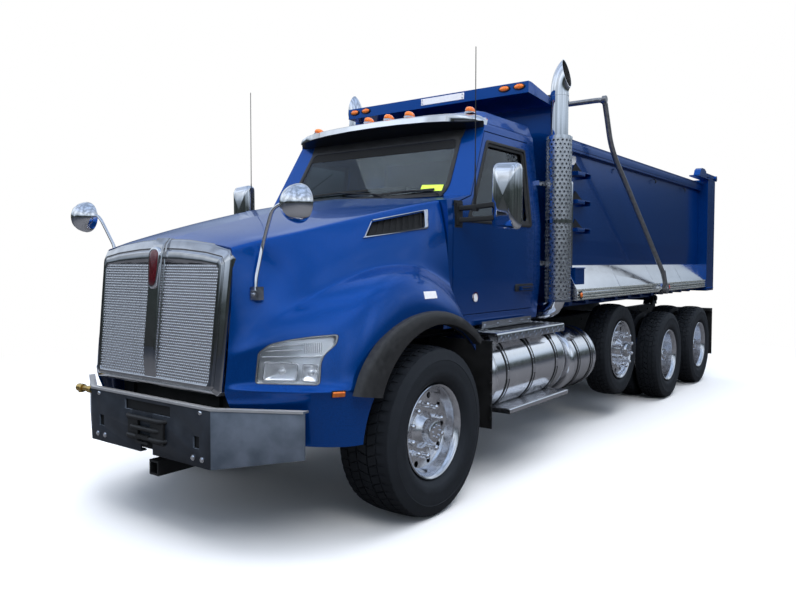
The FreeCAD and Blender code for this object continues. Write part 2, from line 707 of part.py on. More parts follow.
def grille():
    """Surround with a crowned top, a proud centre bar and two barred openings, leaning back a little."""
    outline = symmetric([(0, 878), (620, 878), (633, 1640), (602, 1694), (450, 1725), (225, 1750), (0, 1759)])
    plate = front_profile(outline, (-GRILLE_T, 0))
    low, high_in, high_out = GRILLE_OPEN_Z
    near, far, far_top = GRILLE_OPEN_X
    for sign in (1, -1):
        corners = [(sign * near, low), (sign * far, low), (sign * far_top, high_out), (sign * near, high_in)]
        plate = plate.cut(front_profile(corners, (-GRILLE_T - 1, 1)))
    middle = front_profile([(-30, low - 10), (30, low - 10), (30, high_in + 50), (-30, high_in + 50)],
                           (-GRILLE_T - GRILLE_BAR, -GRILLE_T + 1))
    plate = join([plate, middle])
    panels = []
    for sign in (1, -1):
        panels.append(grille_panel(sign))
    turn = math.degrees(math.atan(NOSE_LEAN))
    placed = []
    for shape in [plate] + panels:
        shape.rotate(V(0, 0, NOSE_Z), LEFTWARD, -turn)
        shape.translate(V(0, NOSE_Y - FIT, 0))
        placed.append(shape)
    ears = []
    for sign in (1, -1):
        x = (sign * HOOD_EAR_X[0], sign * HOOD_EAR_X[1])
        hole = rod((-500, *HOOD_PIVOT), (500, *HOOD_PIVOT), HOOD_PIN_R + RUN)
        ears.append(hood_lug(x, HOOD_PIVOT[0] - 40).cut(hole))
    return join([placed[0]] + ears), placed[1:]


def grille_panel(sign):
    """Pressed panel of one opening, with rows of slots that change step."""
    low, high_in, high_out = GRILLE_OPEN_Z
    near, far, far_top = GRILLE_OPEN_X
    corners = [(sign * (near + FIT), low + FIT), (sign * (far - FIT), low + FIT),
               (sign * (far_top - FIT), high_out - FIT), (sign * (near + FIT), high_in - FIT)]
    panel = front_profile(corners, (-GRILLE_T + 25, -GRILLE_T + 33))
    pitch = (far - near) / SLOT_COLUMNS
    step = (high_out - low) / SLOT_ROWS
    slots = []
    for row in range(SLOT_ROWS):
        z = low + step * (row + 0.5)
        for column in range(SLOT_COLUMNS - row % 2):
            x = sign * (near + pitch * (column + 0.5 + 0.5 * (row % 2)))
            slots.append(box((x - pitch * SLOT_SHARE / 2, x + pitch * SLOT_SHARE / 2), (-GRILLE_T, 0),
                             (z - step * SLOT_SHARE / 2, z + step * SLOT_SHARE / 2)))
    return panel.cut(Part.makeCompound(slots))


def hood_lug(x, root_y):
    """Flat lug round the hood's pivot, running to its root."""
    y, z = HOOD_PIVOT
    disc = bar((x[0], y, z), (x[1], y, z), HOOD_EAR_R)
    return disc.fuse(box(x, (y, root_y), (z - HOOD_EAR_R, z + HOOD_EAR_R)))


def hood_hinges():
    """Clevis on the front end of each rail, with the pin that the hood turns on."""
    y, z = HOOD_PIVOT
    clevises = []
    for sign in (1, -1):
        outer = HOOD_EAR_X[1] + HOOD_EAR_GAP
        inner = HOOD_EAR_X[0] - HOOD_EAR_GAP
        plates = [hood_lug((sign * a, sign * (a + 16)), FRAME_FRONT - FIT) for a in (outer, inner - 16)]
        foot = box((sign * (inner - 16), sign * (outer + 16)), (FRAME_FRONT - 8, FRAME_FRONT - FIT),
                   (z - HOOD_EAR_R, z + HOOD_EAR_R))
        pin = rod((sign * (inner - 16), y, z), (sign * (outer + 16), y, z), HOOD_PIN_R)
        clevises.append(join(plates + [foot, pin]))
    return clevises


def hood_mirror(hood_shell):
    """Domed head on a bent stem from a bracket on the hood's left side."""
    x, y, z = MIRROR_HEAD
    dome = [(0, -98), (50, -84), (85, -49), (98, 0), (92, 26), (0, 30)]
    head = turned_on_y(dome, PIPE_SIDES, MIRROR_HEAD)
    stem = bar_path([(747, -1045, 1480), (752, -1050, 1600), (x, y - 5, z - 80)], 11)
    foot = box((600, 760), (-1065, -1025), (1400, 1490)).cut(hood_shell)
    foot = max(foot.Solids, key=lambda s: s.CenterOfMass.x)
    return join([head, stem, foot])


def hood():
    top = hood_top()
    save("hood_shell", top)
    surround, panels = grille()
    save("grille_surround", surround)
    save("grille_mesh", *panels)
    lip = flare()
    side = biggest(fender().cut(lip))
    for name, shape in (("fenders", side), ("headlamps", headlamp()), ("flares", lip)):
        save(name, *both(shape))
    save("hood_mirrors", *both(hood_mirror(top)))


# Cab

CAB_SIDE = ((CAB_FRONT, CAB_FLOOR), (CAB_FRONT, 2060), (700, 2115), (1010, 2660), (1000, 2700), (1150, 2825),
            (1500, 2880), (1780, 2850), (CAB_REAR, 2780), (CAB_REAR, CAB_FLOOR))
CAB_FACE = ((0, CAB_FLOOR), (CAB_HALF - 35, CAB_FLOOR), (CAB_HALF, 1500), (CAB_HALF, 1950),
            (CAB_HALF - 80, 2670), (CAB_HALF - 130, 2790), (CAB_HALF - 340, 2850), (0, 2885))
SCREEN = ((0, 2135), (CAB_HALF - 270, 2135), (CAB_HALF - 240, 2200), (CAB_HALF - 275, 2590), (0, 2610))
DOOR_T = 60.0
DOOR_SPAN = (CAB_HALF - 340, CAB_HALF + 260)
DOOR_OUTLINE = ((DOOR_FRONT, DOOR_FOOT), (DOOR_FRONT, 2030), (720, 2115), (1000, DOOR_TOP),
                (DOOR_REAR, DOOR_TOP), (DOOR_REAR, DOOR_FOOT))
BACK_LIGHT = ((-620, 2130), (620, 2130), (600, 2560), (-600, 2560))
HINGE_ZS = ((1520.0, 1590.0), (1860.0, 1930.0))
WINDOW_OUTLINE = ((650, 1930), (780, 2115), (1030, 2545), (1640, 2545), (1640, 1930))


def cab_solid(margin):
    side = inset(CAB_SIDE, margin) if margin else CAB_SIDE
    face = symmetric(list(CAB_FACE))
    if margin:
        face = inset(face, margin)
    return side_profile(side, (-1300, 1300)).common(front_profile(face, (0, 2000)))


def door_zone(outline):
    """What lies inside a side outline and outside the door's inner face."""
    inside = front_profile(inset(symmetric(list(CAB_FACE)), DOOR_T), (0, 2000))
    return side_profile(outline, DOOR_SPAN).cut(inside)


def cab():
    full = cab_solid(0)
    shell = full.cut(cab_solid(CAB_WALL))
    doors = door_zone(DOOR_OUTLINE)
    shell = shell.cut(doors).cut(mirrored(doors))
    screen = front_profile(symmetric(list(SCREEN)), (500, 1300))
    back_light = front_profile(BACK_LIGHT, (1600, 1900))
    mounts = [box((s * 350, s * 425), y, (FRAME_TOP + FIT, CAB_FLOOR + 10))
              for s in (1, -1) for y in ((520, 640), (1590, 1710))]
    shell = join([shell.cut(screen).cut(back_light)] + mounts)
    below = box((-1300, 1300), (0, 2000), (1000, ROOF_SPLIT))
    above = box((-1300, 1300), (0, 2000), (ROOF_SPLIT + FIT, 3000))
    save("cab_shell", biggest(shell.common(below)))
    save("cab_roof", biggest(shell.common(above)))
    pane = full.cut(cab_solid(GLASS_T))
    front_pane = pane.common(front_profile(inset(symmetric(list(SCREEN)), FIT), (500, 1300)))
    back_pane = front_profile(inset(BACK_LIGHT, FIT), (CAB_REAR - 25, CAB_REAR - 19))
    save("cab_glass", biggest(front_pane), back_pane)
    visor_side = [(842, 2690), (838, 2765), (1075, 2825), (1160, 2850), (1130, 2790), (1000, 2720), (860, 2680)]
    visor = side_profile(visor_side, (-960, 960)).cut(full)
    save("visor", biggest(visor))


def biggest(shape):
    return sorted(shape.Solids, key=lambda s: -s.Volume)[0]


def door():
    leaf = cab_solid(0).common(door_zone(inset(DOOR_OUTLINE, DOOR_GAP)))
    window = side_profile(WINDOW_OUTLINE, DOOR_SPAN)
    handle = box((CAB_HALF - 40, CAB_HALF + 26), (1440, 1640), (1400, 1432))
    leaf = biggest(leaf.cut(window))
    hinges = [rod((CAB_HALF + 1, DOOR_FRONT + 7, low), (CAB_HALF + 1, DOOR_FRONT + 7, high), HINGE_R)
              for low, high in HINGE_ZS]
    pane_zone = side_profile(inset(WINDOW_OUTLINE, FIT), DOOR_SPAN)
    pane = cab_solid(27).cut(cab_solid(27 + GLASS_T)).common(pane_zone)
    return join([leaf, handle] + hinges), biggest(pane)


def mirror_set():
    """Main mirror on two arms from the door's front edge, with an aerial."""
    head = box((CAB_HALF + 200, CAB_HALF + 415), (600, 700), (1850, 2310))
    arms = [bar_path([(CAB_HALF - 10, 520, z0), (CAB_HALF + 110, 560, z0), (CAB_HALF + 260, 640, z1)], 16)
            for z0, z1 in ((1930.0, 1945.0), (2010.0, 2180.0))]
    plate = box((CAB_HALF - 20, CAB_HALF + 10), (480, 560), (1900, 2030))
    aerial = bar((CAB_HALF + 110, 560, 2005), (CAB_HALF + 110, 560, AERIAL_TOP), 4)
    return join([head] + arms + [plate, aerial])


def doors():
    leaf, pane = door()
    mirror = biggest(mirror_set().cut(cab_solid(0)))
    for name, shape in (("door", leaf), ("door_glass", pane), ("mirror", mirror)):
        save(name + "_left", shape)
        save(name + "_right", mirrored(shape))


STEERING_R = 215.0
STEERING_TILT = 37.0


def interior():
    floor_z = CAB_FLOOR + CAB_WALL + FIT
    seats = []
    for sign in (1, -1):
        x = (sign * 230, sign * 740)
        base = box((sign * 300, sign * 670), (1180, 1560), (floor_z, 1480))
        cushion = box(x, (1120, 1620), (1480, 1610))
        back = side_profile([(1560, 1610), (1640, 2330), (1740, 2330), (1690, 1610)], x)
        seats.append(join([base, cushion, back]))
    save("seats", *seats)
    dash = side_profile([(CAB_FRONT + CAB_WALL + FIT, 1600), (760, 1700), (760, 1950), (700, 2040),
                         (CAB_FRONT + CAB_WALL + FIT, 1960)], (-950, 950))
    hub = (480, 900, 1850)
    grip = [(STEERING_R + 15 * math.cos(a), 15 * math.sin(a)) for a in (math.pi * i / 3 for i in range(6))]
    ring = turned(grip, PIPE_SIDES, (0, 0, 0))
    ring.rotate(V(0, 0, 0), REARWARD, -90)
    ring.rotate(V(0, 0, 0), LEFTWARD, STEERING_TILT)
    ring.translate(V(*hub))
    column = bar((480, 755, 1656), hub, 28)
    spokes = bar((480 - STEERING_R, 900, 1850), (480 + STEERING_R, 900, 1850), 13)
    save("dash", join([dash, ring, column, spokes]))


# Tanks, boxes, steps and exhaust

STRAP_T = 6.0
FUEL_TANK = ((760, 2040), 790, 305, 1200)
OIL_TANK = ((2205, 2790), 735, 285, 1180)
STACK = (1130.0, 1985.0)
STACK_FOOT = 1205.0
STACK_R = 75.0
STACK_SHIELD_R = 109.0


def tank_body(y, z, radius, x_outer, margin=0.0):
    """Round tank with its straps as raised bands."""
    count = 3 if y[1] - y[0] > 900 else 2
    bands = [y[0] + (y[1] - y[0]) * (i + 0.5) / count for i in range(count)]
    profile = [(0, y[0]), (radius - 15, y[0]), (radius, y[0] + 12)]
    for at in bands:
        profile += [(radius, at - 30), (radius + STRAP_T, at - 30), (radius + STRAP_T, at + 30), (radius, at + 30)]
    profile += [(radius, y[1] - 12), (radius - 15, y[1]), (0, y[1])]
    if margin:
        profile = [(0, y[0]), (radius + STRAP_T + margin, y[0]), (radius + STRAP_T + margin, y[1]), (0, y[1])]
    return turned_on_y(profile, TYRE_SIDES, (x_outer - radius, 0, z)), bands


def tank(y, z, radius, x_outer):
    body, bands = tank_body(y, z, radius, x_outer)
    x = x_outer - radius
    brackets = []
    for at in bands:
        arm = box((RAIL_HALF + FIT, x), (at - 30, at + 30), (z - radius - STRAP_T, z - radius + 40))
        post = box((RAIL_HALF + FIT, RAIL_HALF + 40), (at - 30, at + 30), (z - radius - STRAP_T, FRAME_TOP - 40))
        brackets += [arm, post]
    return join([body] + brackets)


def sides_gear():
    save("tanks", tank(*FUEL_TANK), tank(*OIL_TANK))
    save("side_boxes", box((-RAIL_HALF - FIT, -1180), (780, 1620), (560, 1080)),
         box((-RAIL_HALF - FIT, -1150), (1700, 2500), (600, 1010)))
    left = [box((905, 1200), (770, 1930), (1098, 1116)), box((1050, 1250), (900, 1940), (510, 545))]
    struts = [box((1052, 1072), (y, y + 40), (545, 640)) for y in (1050.0, 1780.0)]
    hangers = [box((930, 960), (y, y + 40), (1060, 1099)) for y in (860.0, 1800.0)]
    tank_round, _ = tank_body(*FUEL_TANK, margin=FIT)
    tread = join([left[0]] + hangers).cut(tank_round)
    low = join([left[1]] + struts).cut(tank_round)
    treads = [biggest(tread), biggest(low), box((-860, -1180), (790, 1610), (1080 + FIT, 1100))]
    low = join([box((-1050, -1250), (900, 1940), (510, 545)),
                box((-1052, -1072), (950, 990), (545, 560 - FIT)),
                box((-1052, -1072), (1540, 1580), (545, 560 - FIT))])
    save("steps", *treads, low)


def exhaust(sign):
    """Upright stack in its shield, with a swept tip and a cross pipe at its foot."""
    x = sign * STACK[0]
    y = STACK[1]
    stack = bar_path([(sign * 420, y, FRAME_TOP + FIT), (sign * 420, y, STACK_FOOT), (x, y, STACK_FOOT),
                      (x, y, 3120), (x, y + 25, 3220), (x, y + 90, 3310)], STACK_R, PIPE_SIDES)
    shield = bar((x, y, STACK_FOOT + 90), (x, y, 2690), STACK_SHIELD_R, PIPE_SIDES)
    return join([stack, shield])


def mudguards():
    flaps = []
    for sign in (1, -1):
        quarter = box((sign * 640, sign * 1190), (742, 754), (420, 1060))
        arm = box((sign * (RAIL_HALF + FIT), sign * 700), (742, 754), (950, 1000))
        flaps.append(join([quarter, arm]))
    for sign in (1, -1):
        flap = box((sign * 640, sign * 1210), (FRAME_REAR + 60, FRAME_REAR + 72), (330, 980))
        bar = box((sign * (RAIL_HALF + FIT), sign * 1210), (FRAME_REAR - 40, FRAME_REAR + 60), (940, 980))
        flaps.append(join([flap, bar]))
    save("mudflaps", *flaps)


# Tipping body

def bed_floor():
    """Floor plate on its cross sills, and the two long sills that end in the rear hinge ears."""
    pieces = [box((-BED_HALF, BED_HALF), (BED_FRONT, BED_REAR), (BED_FLOOR, BED_FLOOR + FLOOR_T))]
    for i in range(12):
        y = BED_FRONT + 200 + i * CROSS_PITCH
        pieces.append(box((-BED_HALF, BED_HALF), (y - 35, y + 35), (BED_FLOOR - CROSS_H, BED_FLOOR)))
    floor = join(pieces).cut(doghouse(0))
    top = BED_FLOOR - CROSS_H - FIT
    bore = rod((-SILL_X - 60, HINGE_Y, HINGE_Z), (SILL_X + 60, HINGE_Y, HINGE_Z), HINGE_PIN_R + RUN)
    sills = []
    for sign in (1, -1):
        x = (sign * (SILL_X - 45), sign * (SILL_X + 30))
        sill = box(x, (BED_FRONT, HINGE_Y + 40), (top - SILL_H, top))
        ear = bar((x[0], HINGE_Y, HINGE_Z), (x[1], HINGE_Y, HINGE_Z), 78, PIPE_SIDES)
        neck = box(x, (HINGE_Y - 75, HINGE_Y + 75), (HINGE_Z, BED_FLOOR - FIT))
        sills.append(join([sill, ear, neck]).cut(bore))
    return [floor] + sills


def doghouse(margin):
    """Space for the hoist in the front of the body, deeper at the floor."""
    half = HOUSE_HALF + margin
    top, foot = (BED_FRONT + d + margin for d in HOUSE_DEPTH)
    return side_profile([(BED_FRONT - 1, 1000), (BED_FRONT - 1, HOUSE_TOP + margin),
                         (top, HOUSE_TOP + margin), (foot, 1000)], (-half, half))


def bed():
    save("bed_floor", *bed_floor())
    inner = BED_HALF - BED_WALL
    side = box((inner, BED_HALF), (BED_FRONT + 60, BED_REAR), (BED_FLOOR + FLOOR_T, BED_TOP - RAIL_TOP_H))
    rail_top = box((inner - 20, RAIL_TOP_OUT), (BED_FRONT + 60, POST_Y), (BED_TOP - RAIL_TOP_H, BED_TOP))
    post = box((inner, POST_OUT), (POST_Y, BED_REAR), (BED_FLOOR - CROSS_H, BED_TOP + 50))
    under = box((0, BED_HALF), (BED_FRONT, BED_REAR + 1), (1000, BED_FLOOR + FLOOR_T))
    steps = [box((BED_HALF - 1, BED_HALF + 90), (2260, 2420), (z, z + 25)) for z in (1900.0, 2150.0, 2400.0)]
    left = join([side, rail_top, post, gate_hinge()] + steps).cut(under)
    save("bed_sides", left, mirrored(left))
    lid = side_profile([(SHIELD_LIP_Y, SHIELD_TOP), (SHIELD_LIP_Y, SHIELD_TOP - 95), (BED_FRONT, 3010),
                        (BED_FRONT, BED_FLOOR + FLOOR_T), (BED_FRONT + 60, BED_FLOOR + FLOOR_T),
                        (BED_FRONT + 60, 3060), (SHIELD_LIP_Y + 60, SHIELD_TOP)], (-SHIELD_HALF, SHIELD_HALF))
    wings = box((-BED_HALF, BED_HALF), (BED_FRONT, BED_FRONT + 60), (BED_FLOOR + FLOOR_T, BED_TOP))
    house = doghouse(HOUSE_WALL).cut(box((-400, 400), (1000, 4000), (900, BED_FLOOR + FLOOR_T)))
    eye_y, eye_z = HOIST_EYE
    ears = [box((s * EYE_EAR_X, s * (EYE_EAR_X + 28)), (eye_y - 60, eye_y + 60), (eye_z - 60, HOUSE_TOP + 1))
            for s in (1, -1)]
    front = join([lid, wings, house]).cut(doghouse(0))
    save("bed_front", join([front] + ears))
    out = BED_HALF + SKIRT_STEP
    low, high = SKIRT_Z
    skirt = front_profile([(BED_HALF + FIT, SKIRT_TOP), (BED_HALF + 8, SKIRT_TOP), (out, high), (out, low),
                           (out - 52, low), (out - 52, high - 15), (BED_HALF + FIT, SKIRT_TOP - 40)],
                          (BED_FRONT + 60, POST_Y - FIT))
    boss = bar((out - 22, *ARM_PIVOT), (ARM_X[0] - 6, *ARM_PIVOT), 60)
    pin = rod((out - 22, *ARM_PIVOT), (ARM_X[1] + 8, *ARM_PIVOT), ARM_PIN_R)
    save("bed_skirts", *both(join([skirt, boss, pin])))
    roller_y = BED_FRONT + 160
    roller = bar((40 - BED_HALF, roller_y, 3080), (BED_HALF - 40, roller_y, 3080), 60)
    carriers = [box((s * 900, s * 930), (BED_FRONT + 60 + FIT, roller_y), (2980, 3100)) for s in (1, -1)]
    save("tarp_roller", join([roller] + carriers))


def frame_hinge():
    """Rear pivot: a bracket on each rail and the pin that both body ears turn on."""
    pin = rod((-(SILL_X + 85), HINGE_Y, HINGE_Z), (SILL_X + 85, HINGE_Y, HINGE_Z), HINGE_PIN_R)
    brackets = []
    for sign in (1, -1):
        brackets.append(side_profile([(HINGE_Y - 120, FRAME_TOP + FIT), (HINGE_Y - 50, HINGE_Z + 50),
                                      (HINGE_Y + 50, HINGE_Z + 50), (HINGE_Y + 90, FRAME_TOP + FIT)],
                                     (sign * (SILL_X + 31), sign * (SILL_X + 60))))
        brackets.append(side_profile([(HINGE_Y - 120, FRAME_TOP + FIT), (HINGE_Y - 50, HINGE_Z + 50),
                                      (HINGE_Y + 50, HINGE_Z + 50), (HINGE_Y + 90, FRAME_TOP + FIT)],
                                     (sign * (SILL_X - 75), sign * (SILL_X - 46))))
    return join([pin] + brackets)


def tailgate():
    leaf = box((-BED_HALF + 5, BED_HALF - 5), (BED_REAR + 8, BED_REAR + 8 + GATE_T),
               (BED_FLOOR - 30, BED_TOP - 20))
    ribs = [box((x - 40, x + 40), (BED_REAR + 80, BED_REAR + 150), (BED_FLOOR, BED_TOP - 60))
            for x in (200 - BED_HALF, -300.0, 300.0, BED_HALF - 200)]
    ribs.append(box((10 - BED_HALF, BED_HALF - 10), (BED_REAR + 80, BED_REAR + 150), (BED_TOP - 120, BED_TOP - 20)))
    arms = []
    for sign in (1, -1):
        x = (sign * (BED_HALF + 5), sign * (BED_HALF + 35))
        arms.append(side_profile([(GATE_HINGE[0] - 35, GATE_HINGE[1] + 35), (GATE_HINGE[0] + 60, GATE_HINGE[1] + 35),
                                  (BED_REAR + 150, 2560), (BED_REAR + 30, 2560)], x))
        arms.append(box((sign * (BED_HALF - 100), x[1]), (BED_REAR + 30, BED_REAR + 88), (2560, 2640)))
    whole = join([leaf] + ribs + arms)
    bore = rod((-BED_HALF - 100, *GATE_HINGE), (BED_HALF + 100, *GATE_HINGE), GATE_PIN_R + RUN)
    save("tailgate", whole.cut(bore))


def gate_hinge():
    """Ear on top of the left rear post with the pin that the gate's arm hangs on."""
    y, z = GATE_HINGE
    ear = side_profile([(BED_REAR - 160, 2740), (BED_REAR - 160, 2760), (y - 40, z + 40), (y + 40, z + 40),
                        (y + 40, z - 40), (BED_REAR - 1, 2740)], (BED_HALF + 42, BED_HALF + 72))
    return join([ear, rod((BED_HALF - 2, y, z), (BED_HALF + 60, y, z), GATE_PIN_R)])


TARP_LINE = (ARM_PIVOT, (4472, 1502), (4093, 1768), (3212, 2397), (2921, 2599), (2780, 2740), (2690, 2950), BOW)


def band(points, width):
    """Outline of a strip along a bent line in the side plane."""
    path = [V(0, y, z) for y, z in points]
    runs = [(b - a).normalize() for a, b in zip(path, path[1:])]
    near = []
    far = []
    for i, place in enumerate(path):
        after = runs[min(i, len(runs) - 1)]
        mitre = (runs[max(i - 1, 0)] + after).normalize()
        across = V(0, -mitre.z, mitre.y) * (width / 2 / mitre.dot(after))
        near.append(place + across)
        far.append(place - across)
    return [(p.y, p.z) for p in near + far[::-1]]


def tarp_arms():
    """Two arms, bent near their tops, and the bow between them."""
    pieces = []
    for sign in (1, -1):
        x = (sign * ARM_X[0], sign * ARM_X[1])
        pieces.append(side_profile(band(TARP_LINE, ARM_W), x))
        pieces.append(bar((x[0], *ARM_PIVOT), (x[1], *ARM_PIVOT), 60))
    pieces.append(bar((-ARM_X[1], *BOW), (ARM_X[1], *BOW), 24))
    bore = rod((-ARM_X[1] - 100, *ARM_PIVOT), (ARM_X[1] + 100, *ARM_PIVOT), ARM_PIN_R + RUN)
    save("tarp_arms", join(pieces).cut(bore))


def hoist():
    """Telescopic hoist, shut: a barrel in trunnions on the frame and three stages inside it."""
    y, foot = HOIST_FOOT
    eye_z = HOIST_EYE[1]
    mouth = foot + HOIST_CLOSED
    outer, first, second, plunger = HOIST_R
    barrel = tube((0, y, foot - HOIST_BASE), (0, y, mouth), outer, first + RUN)
    base = bar((0, y, foot - HOIST_BASE), (0, y, foot + 30), outer, PIPE_SIDES)
    trunnion = rod((-170, y, foot), (170, y, foot), TRUNNION_R)
    save("hoist_barrel", join([barrel, base, trunnion]))
    save("hoist_stage_1", tube((0, y, foot + 32), (0, y, mouth + HOIST_STEP), first, second + RUN))
    save("hoist_stage_2", tube((0, y, foot + 34), (0, y, mouth + 2 * HOIST_STEP), second, plunger + RUN))
    head = bar((0, y, foot + 36), (0, y, eye_z - 20), plunger, PIPE_SIDES)
    eye = bar((-55, y, eye_z), (55, y, eye_z), 58).fuse(box((-45, 45), (y - 45, y + 45), (eye_z - 60, eye_z)))
    pin = rod((-EYE_EAR_X + 1.5, y, eye_z), (EYE_EAR_X - 1.5, y, eye_z), HOIST_PIN_R)
    save("hoist_stage_3", join([head, eye, pin]))


def hoist_mounts():
    """Trunnion block on the inside of each rail."""
    y, z0 = HOIST_FOOT
    blocks = []
    for sign in (1, -1):
        block = box((sign * 125, sign * 175), (y - 60, y + 60), (z0 - 60, z0 + 55))
        plate = box((sign * 125, sign * (RAIL_HALF - RAIL_T - FIT)), (y - 60, y + 60), (z0 - 60, z0 - 45))
        blocks.append(join([block, plate]).cut(rod((-200, y, z0), (200, y, z0), TRUNNION_R + RUN)))
    return blocks


def chassis():
    save("frame", rail(1), rail(-1), *frame_members(), *hoist_mounts(), frame_hinge(), *hood_hinges())
    save("axles", front_axle(), lift_axle(), *drive_axles())
    save("suspension", *front_springs(), *rear_beams())
    save("powertrain", engine(), radiator(), *driveline())
    front_end()
    sides_gear()
    mudguards()
    save("exhaust_stacks", exhaust(1), exhaust(-1))


def main():
    wheels()
    steering()
    chassis()
    hood()
    cab()
    doors()
    interior()
    bed()
    tailgate()
    tarp_arms()
    hoist()


main()
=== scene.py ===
"""Dressed dump truck: materials, panels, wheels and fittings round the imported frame.

Metres. Design places are given from the front axle on the ground, as in the part: X to the
truck's left, Y to the rear, Z up. at() turns them into the frame's own coordinates.
"""
import json
import math

import bmesh
import bpy
from mathutils import Matrix, Vector
from mathutils.bvhtree import BVHTree

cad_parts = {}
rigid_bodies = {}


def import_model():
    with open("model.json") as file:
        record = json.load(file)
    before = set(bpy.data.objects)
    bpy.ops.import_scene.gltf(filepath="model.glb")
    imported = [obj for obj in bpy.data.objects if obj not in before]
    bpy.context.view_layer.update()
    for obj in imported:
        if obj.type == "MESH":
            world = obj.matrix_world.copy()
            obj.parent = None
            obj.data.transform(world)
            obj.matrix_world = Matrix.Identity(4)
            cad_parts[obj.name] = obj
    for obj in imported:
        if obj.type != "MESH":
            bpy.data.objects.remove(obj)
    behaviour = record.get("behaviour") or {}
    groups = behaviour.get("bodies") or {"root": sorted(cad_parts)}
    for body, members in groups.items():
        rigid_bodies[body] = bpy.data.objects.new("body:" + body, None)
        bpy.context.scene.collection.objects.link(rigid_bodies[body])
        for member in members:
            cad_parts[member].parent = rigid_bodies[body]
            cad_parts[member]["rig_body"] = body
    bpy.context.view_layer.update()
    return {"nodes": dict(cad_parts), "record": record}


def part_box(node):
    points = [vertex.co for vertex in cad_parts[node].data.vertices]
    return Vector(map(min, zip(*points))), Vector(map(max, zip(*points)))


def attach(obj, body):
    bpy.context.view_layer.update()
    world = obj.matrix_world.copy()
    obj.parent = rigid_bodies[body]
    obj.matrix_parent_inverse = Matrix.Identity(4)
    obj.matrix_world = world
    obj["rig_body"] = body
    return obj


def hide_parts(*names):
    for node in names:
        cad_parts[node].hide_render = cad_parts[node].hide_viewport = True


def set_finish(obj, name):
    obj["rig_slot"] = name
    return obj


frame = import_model()
NODES = frame["nodes"]
SLOT_NAMES = [m["slot"] for m in frame["record"]["materials"]]
BODY_OF = {n: body for body, names in frame["record"]["behaviour"]["bodies"].items() for n in names}
LEFTWARD = Vector((1, 0, 0))
AHEAD = Vector((0, -1, 0))
REARWARD = Vector((0, 1, 0))
UP = Vector((0, 0, 1))
POINT_R = 0.00001       # radius that closes a small turned shape
AXIS_R = 0.0001         # radius that closes a large one
QUARTER = math.radians(90)
CORNER_REACH = 0.48     # share of a side that a rounded corner may take


def middle(node):
    """Centre of a CAD node's box."""
    low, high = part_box(node)
    return (low + high) / 2


SHIFT_Y = middle("tyre_front_left").y


def at(x, y, z):
    """The frame's own coordinates of a design place."""
    return Vector((x, y + SHIFT_Y, z))


def frame_y(y):
    """The frame's Y of a design place."""
    return at(0, y, 0).y


# Materials

def node_tree(name):
    """New material with its tree and its shader."""
    material = bpy.data.materials.new(name)
    material.use_nodes = True
    tree = material.node_tree
    return material, tree, tree.nodes["Principled BSDF"]


def add(tree, kind, **inputs):
    """New node with its sockets or its own settings set."""
    node = tree.nodes.new(kind)
    for key, value in inputs.items():
        if key in node.inputs:
            node.inputs[key].default_value = value
        else:
            setattr(node, key, value)
    return node


def noise(tree, scale, detail=4.0, stretch=(1, 1, 1)):
    """Noise over the piece's own coordinates, in metres."""
    where = add(tree, "ShaderNodeTexCoord")
    size = add(tree, "ShaderNodeMapping", Scale=stretch)
    tree.links.new(where.outputs["Object"], size.inputs["Vector"])
    pattern = add(tree, "ShaderNodeTexNoise", Scale=scale, Detail=detail)
    tree.links.new(size.outputs["Vector"], pattern.inputs["Vector"])
    return pattern.outputs["Fac"]


def ramp(tree, value, low, high, at_low=0.35, at_high=0.65):
    """Colour or grey between two values as the pattern rises."""
    mix = tree.nodes.new("ShaderNodeValToRGB")
    for stop, place, colour in zip(mix.color_ramp.elements, (at_low, at_high), (low, high)):
        stop.position = place
        stop.color = (*colour, 1)
    tree.links.new(value, mix.inputs["Fac"])
    return mix.outputs["Color"]


def surface(name, low, high, rough, metal, scale=20.0, grain=120.0, relief=0.1, stretch=(1, 1, 1), **sockets):
    """Finish whose colour and gloss vary between two values, with a fine relief."""
    material, tree, shader = node_tree(name)
    shader.inputs["Metallic"].default_value = metal
    for key, value in sockets.items():
        shader.inputs[key.replace("_", " ")].default_value = value
    pattern = noise(tree, scale, 5.0, stretch)
    tree.links.new(ramp(tree, pattern, low, high), shader.inputs["Base Color"])
    tree.links.new(ramp(tree, pattern, (rough[0],) * 3, (rough[1],) * 3), shader.inputs["Roughness"])
    hollows = add(tree, "ShaderNodeBump", Strength=relief, Distance=0.001)
    tree.links.new(noise(tree, grain, 3.0, stretch), hollows.inputs["Height"])
    tree.links.new(hollows.outputs["Normal"], shader.inputs["Normal"])
    return material


def glass(name, tint):
    """Clear solid with a faint unevenness of tint."""
    material, tree, shader = node_tree(name)
    shader.inputs["Transmission Weight"].default_value = 1.0
    shader.inputs["IOR"].default_value = 1.45
    low = tuple(c * 0.96 for c in tint)
    tree.links.new(ramp(tree, noise(tree, 8.0), low, tint), shader.inputs["Base Color"])
    shader.inputs["Roughness"].default_value = 0.0
    return material


def grey(value):
    """Slightly blue grey."""
    return (value, value, value * 1.02)


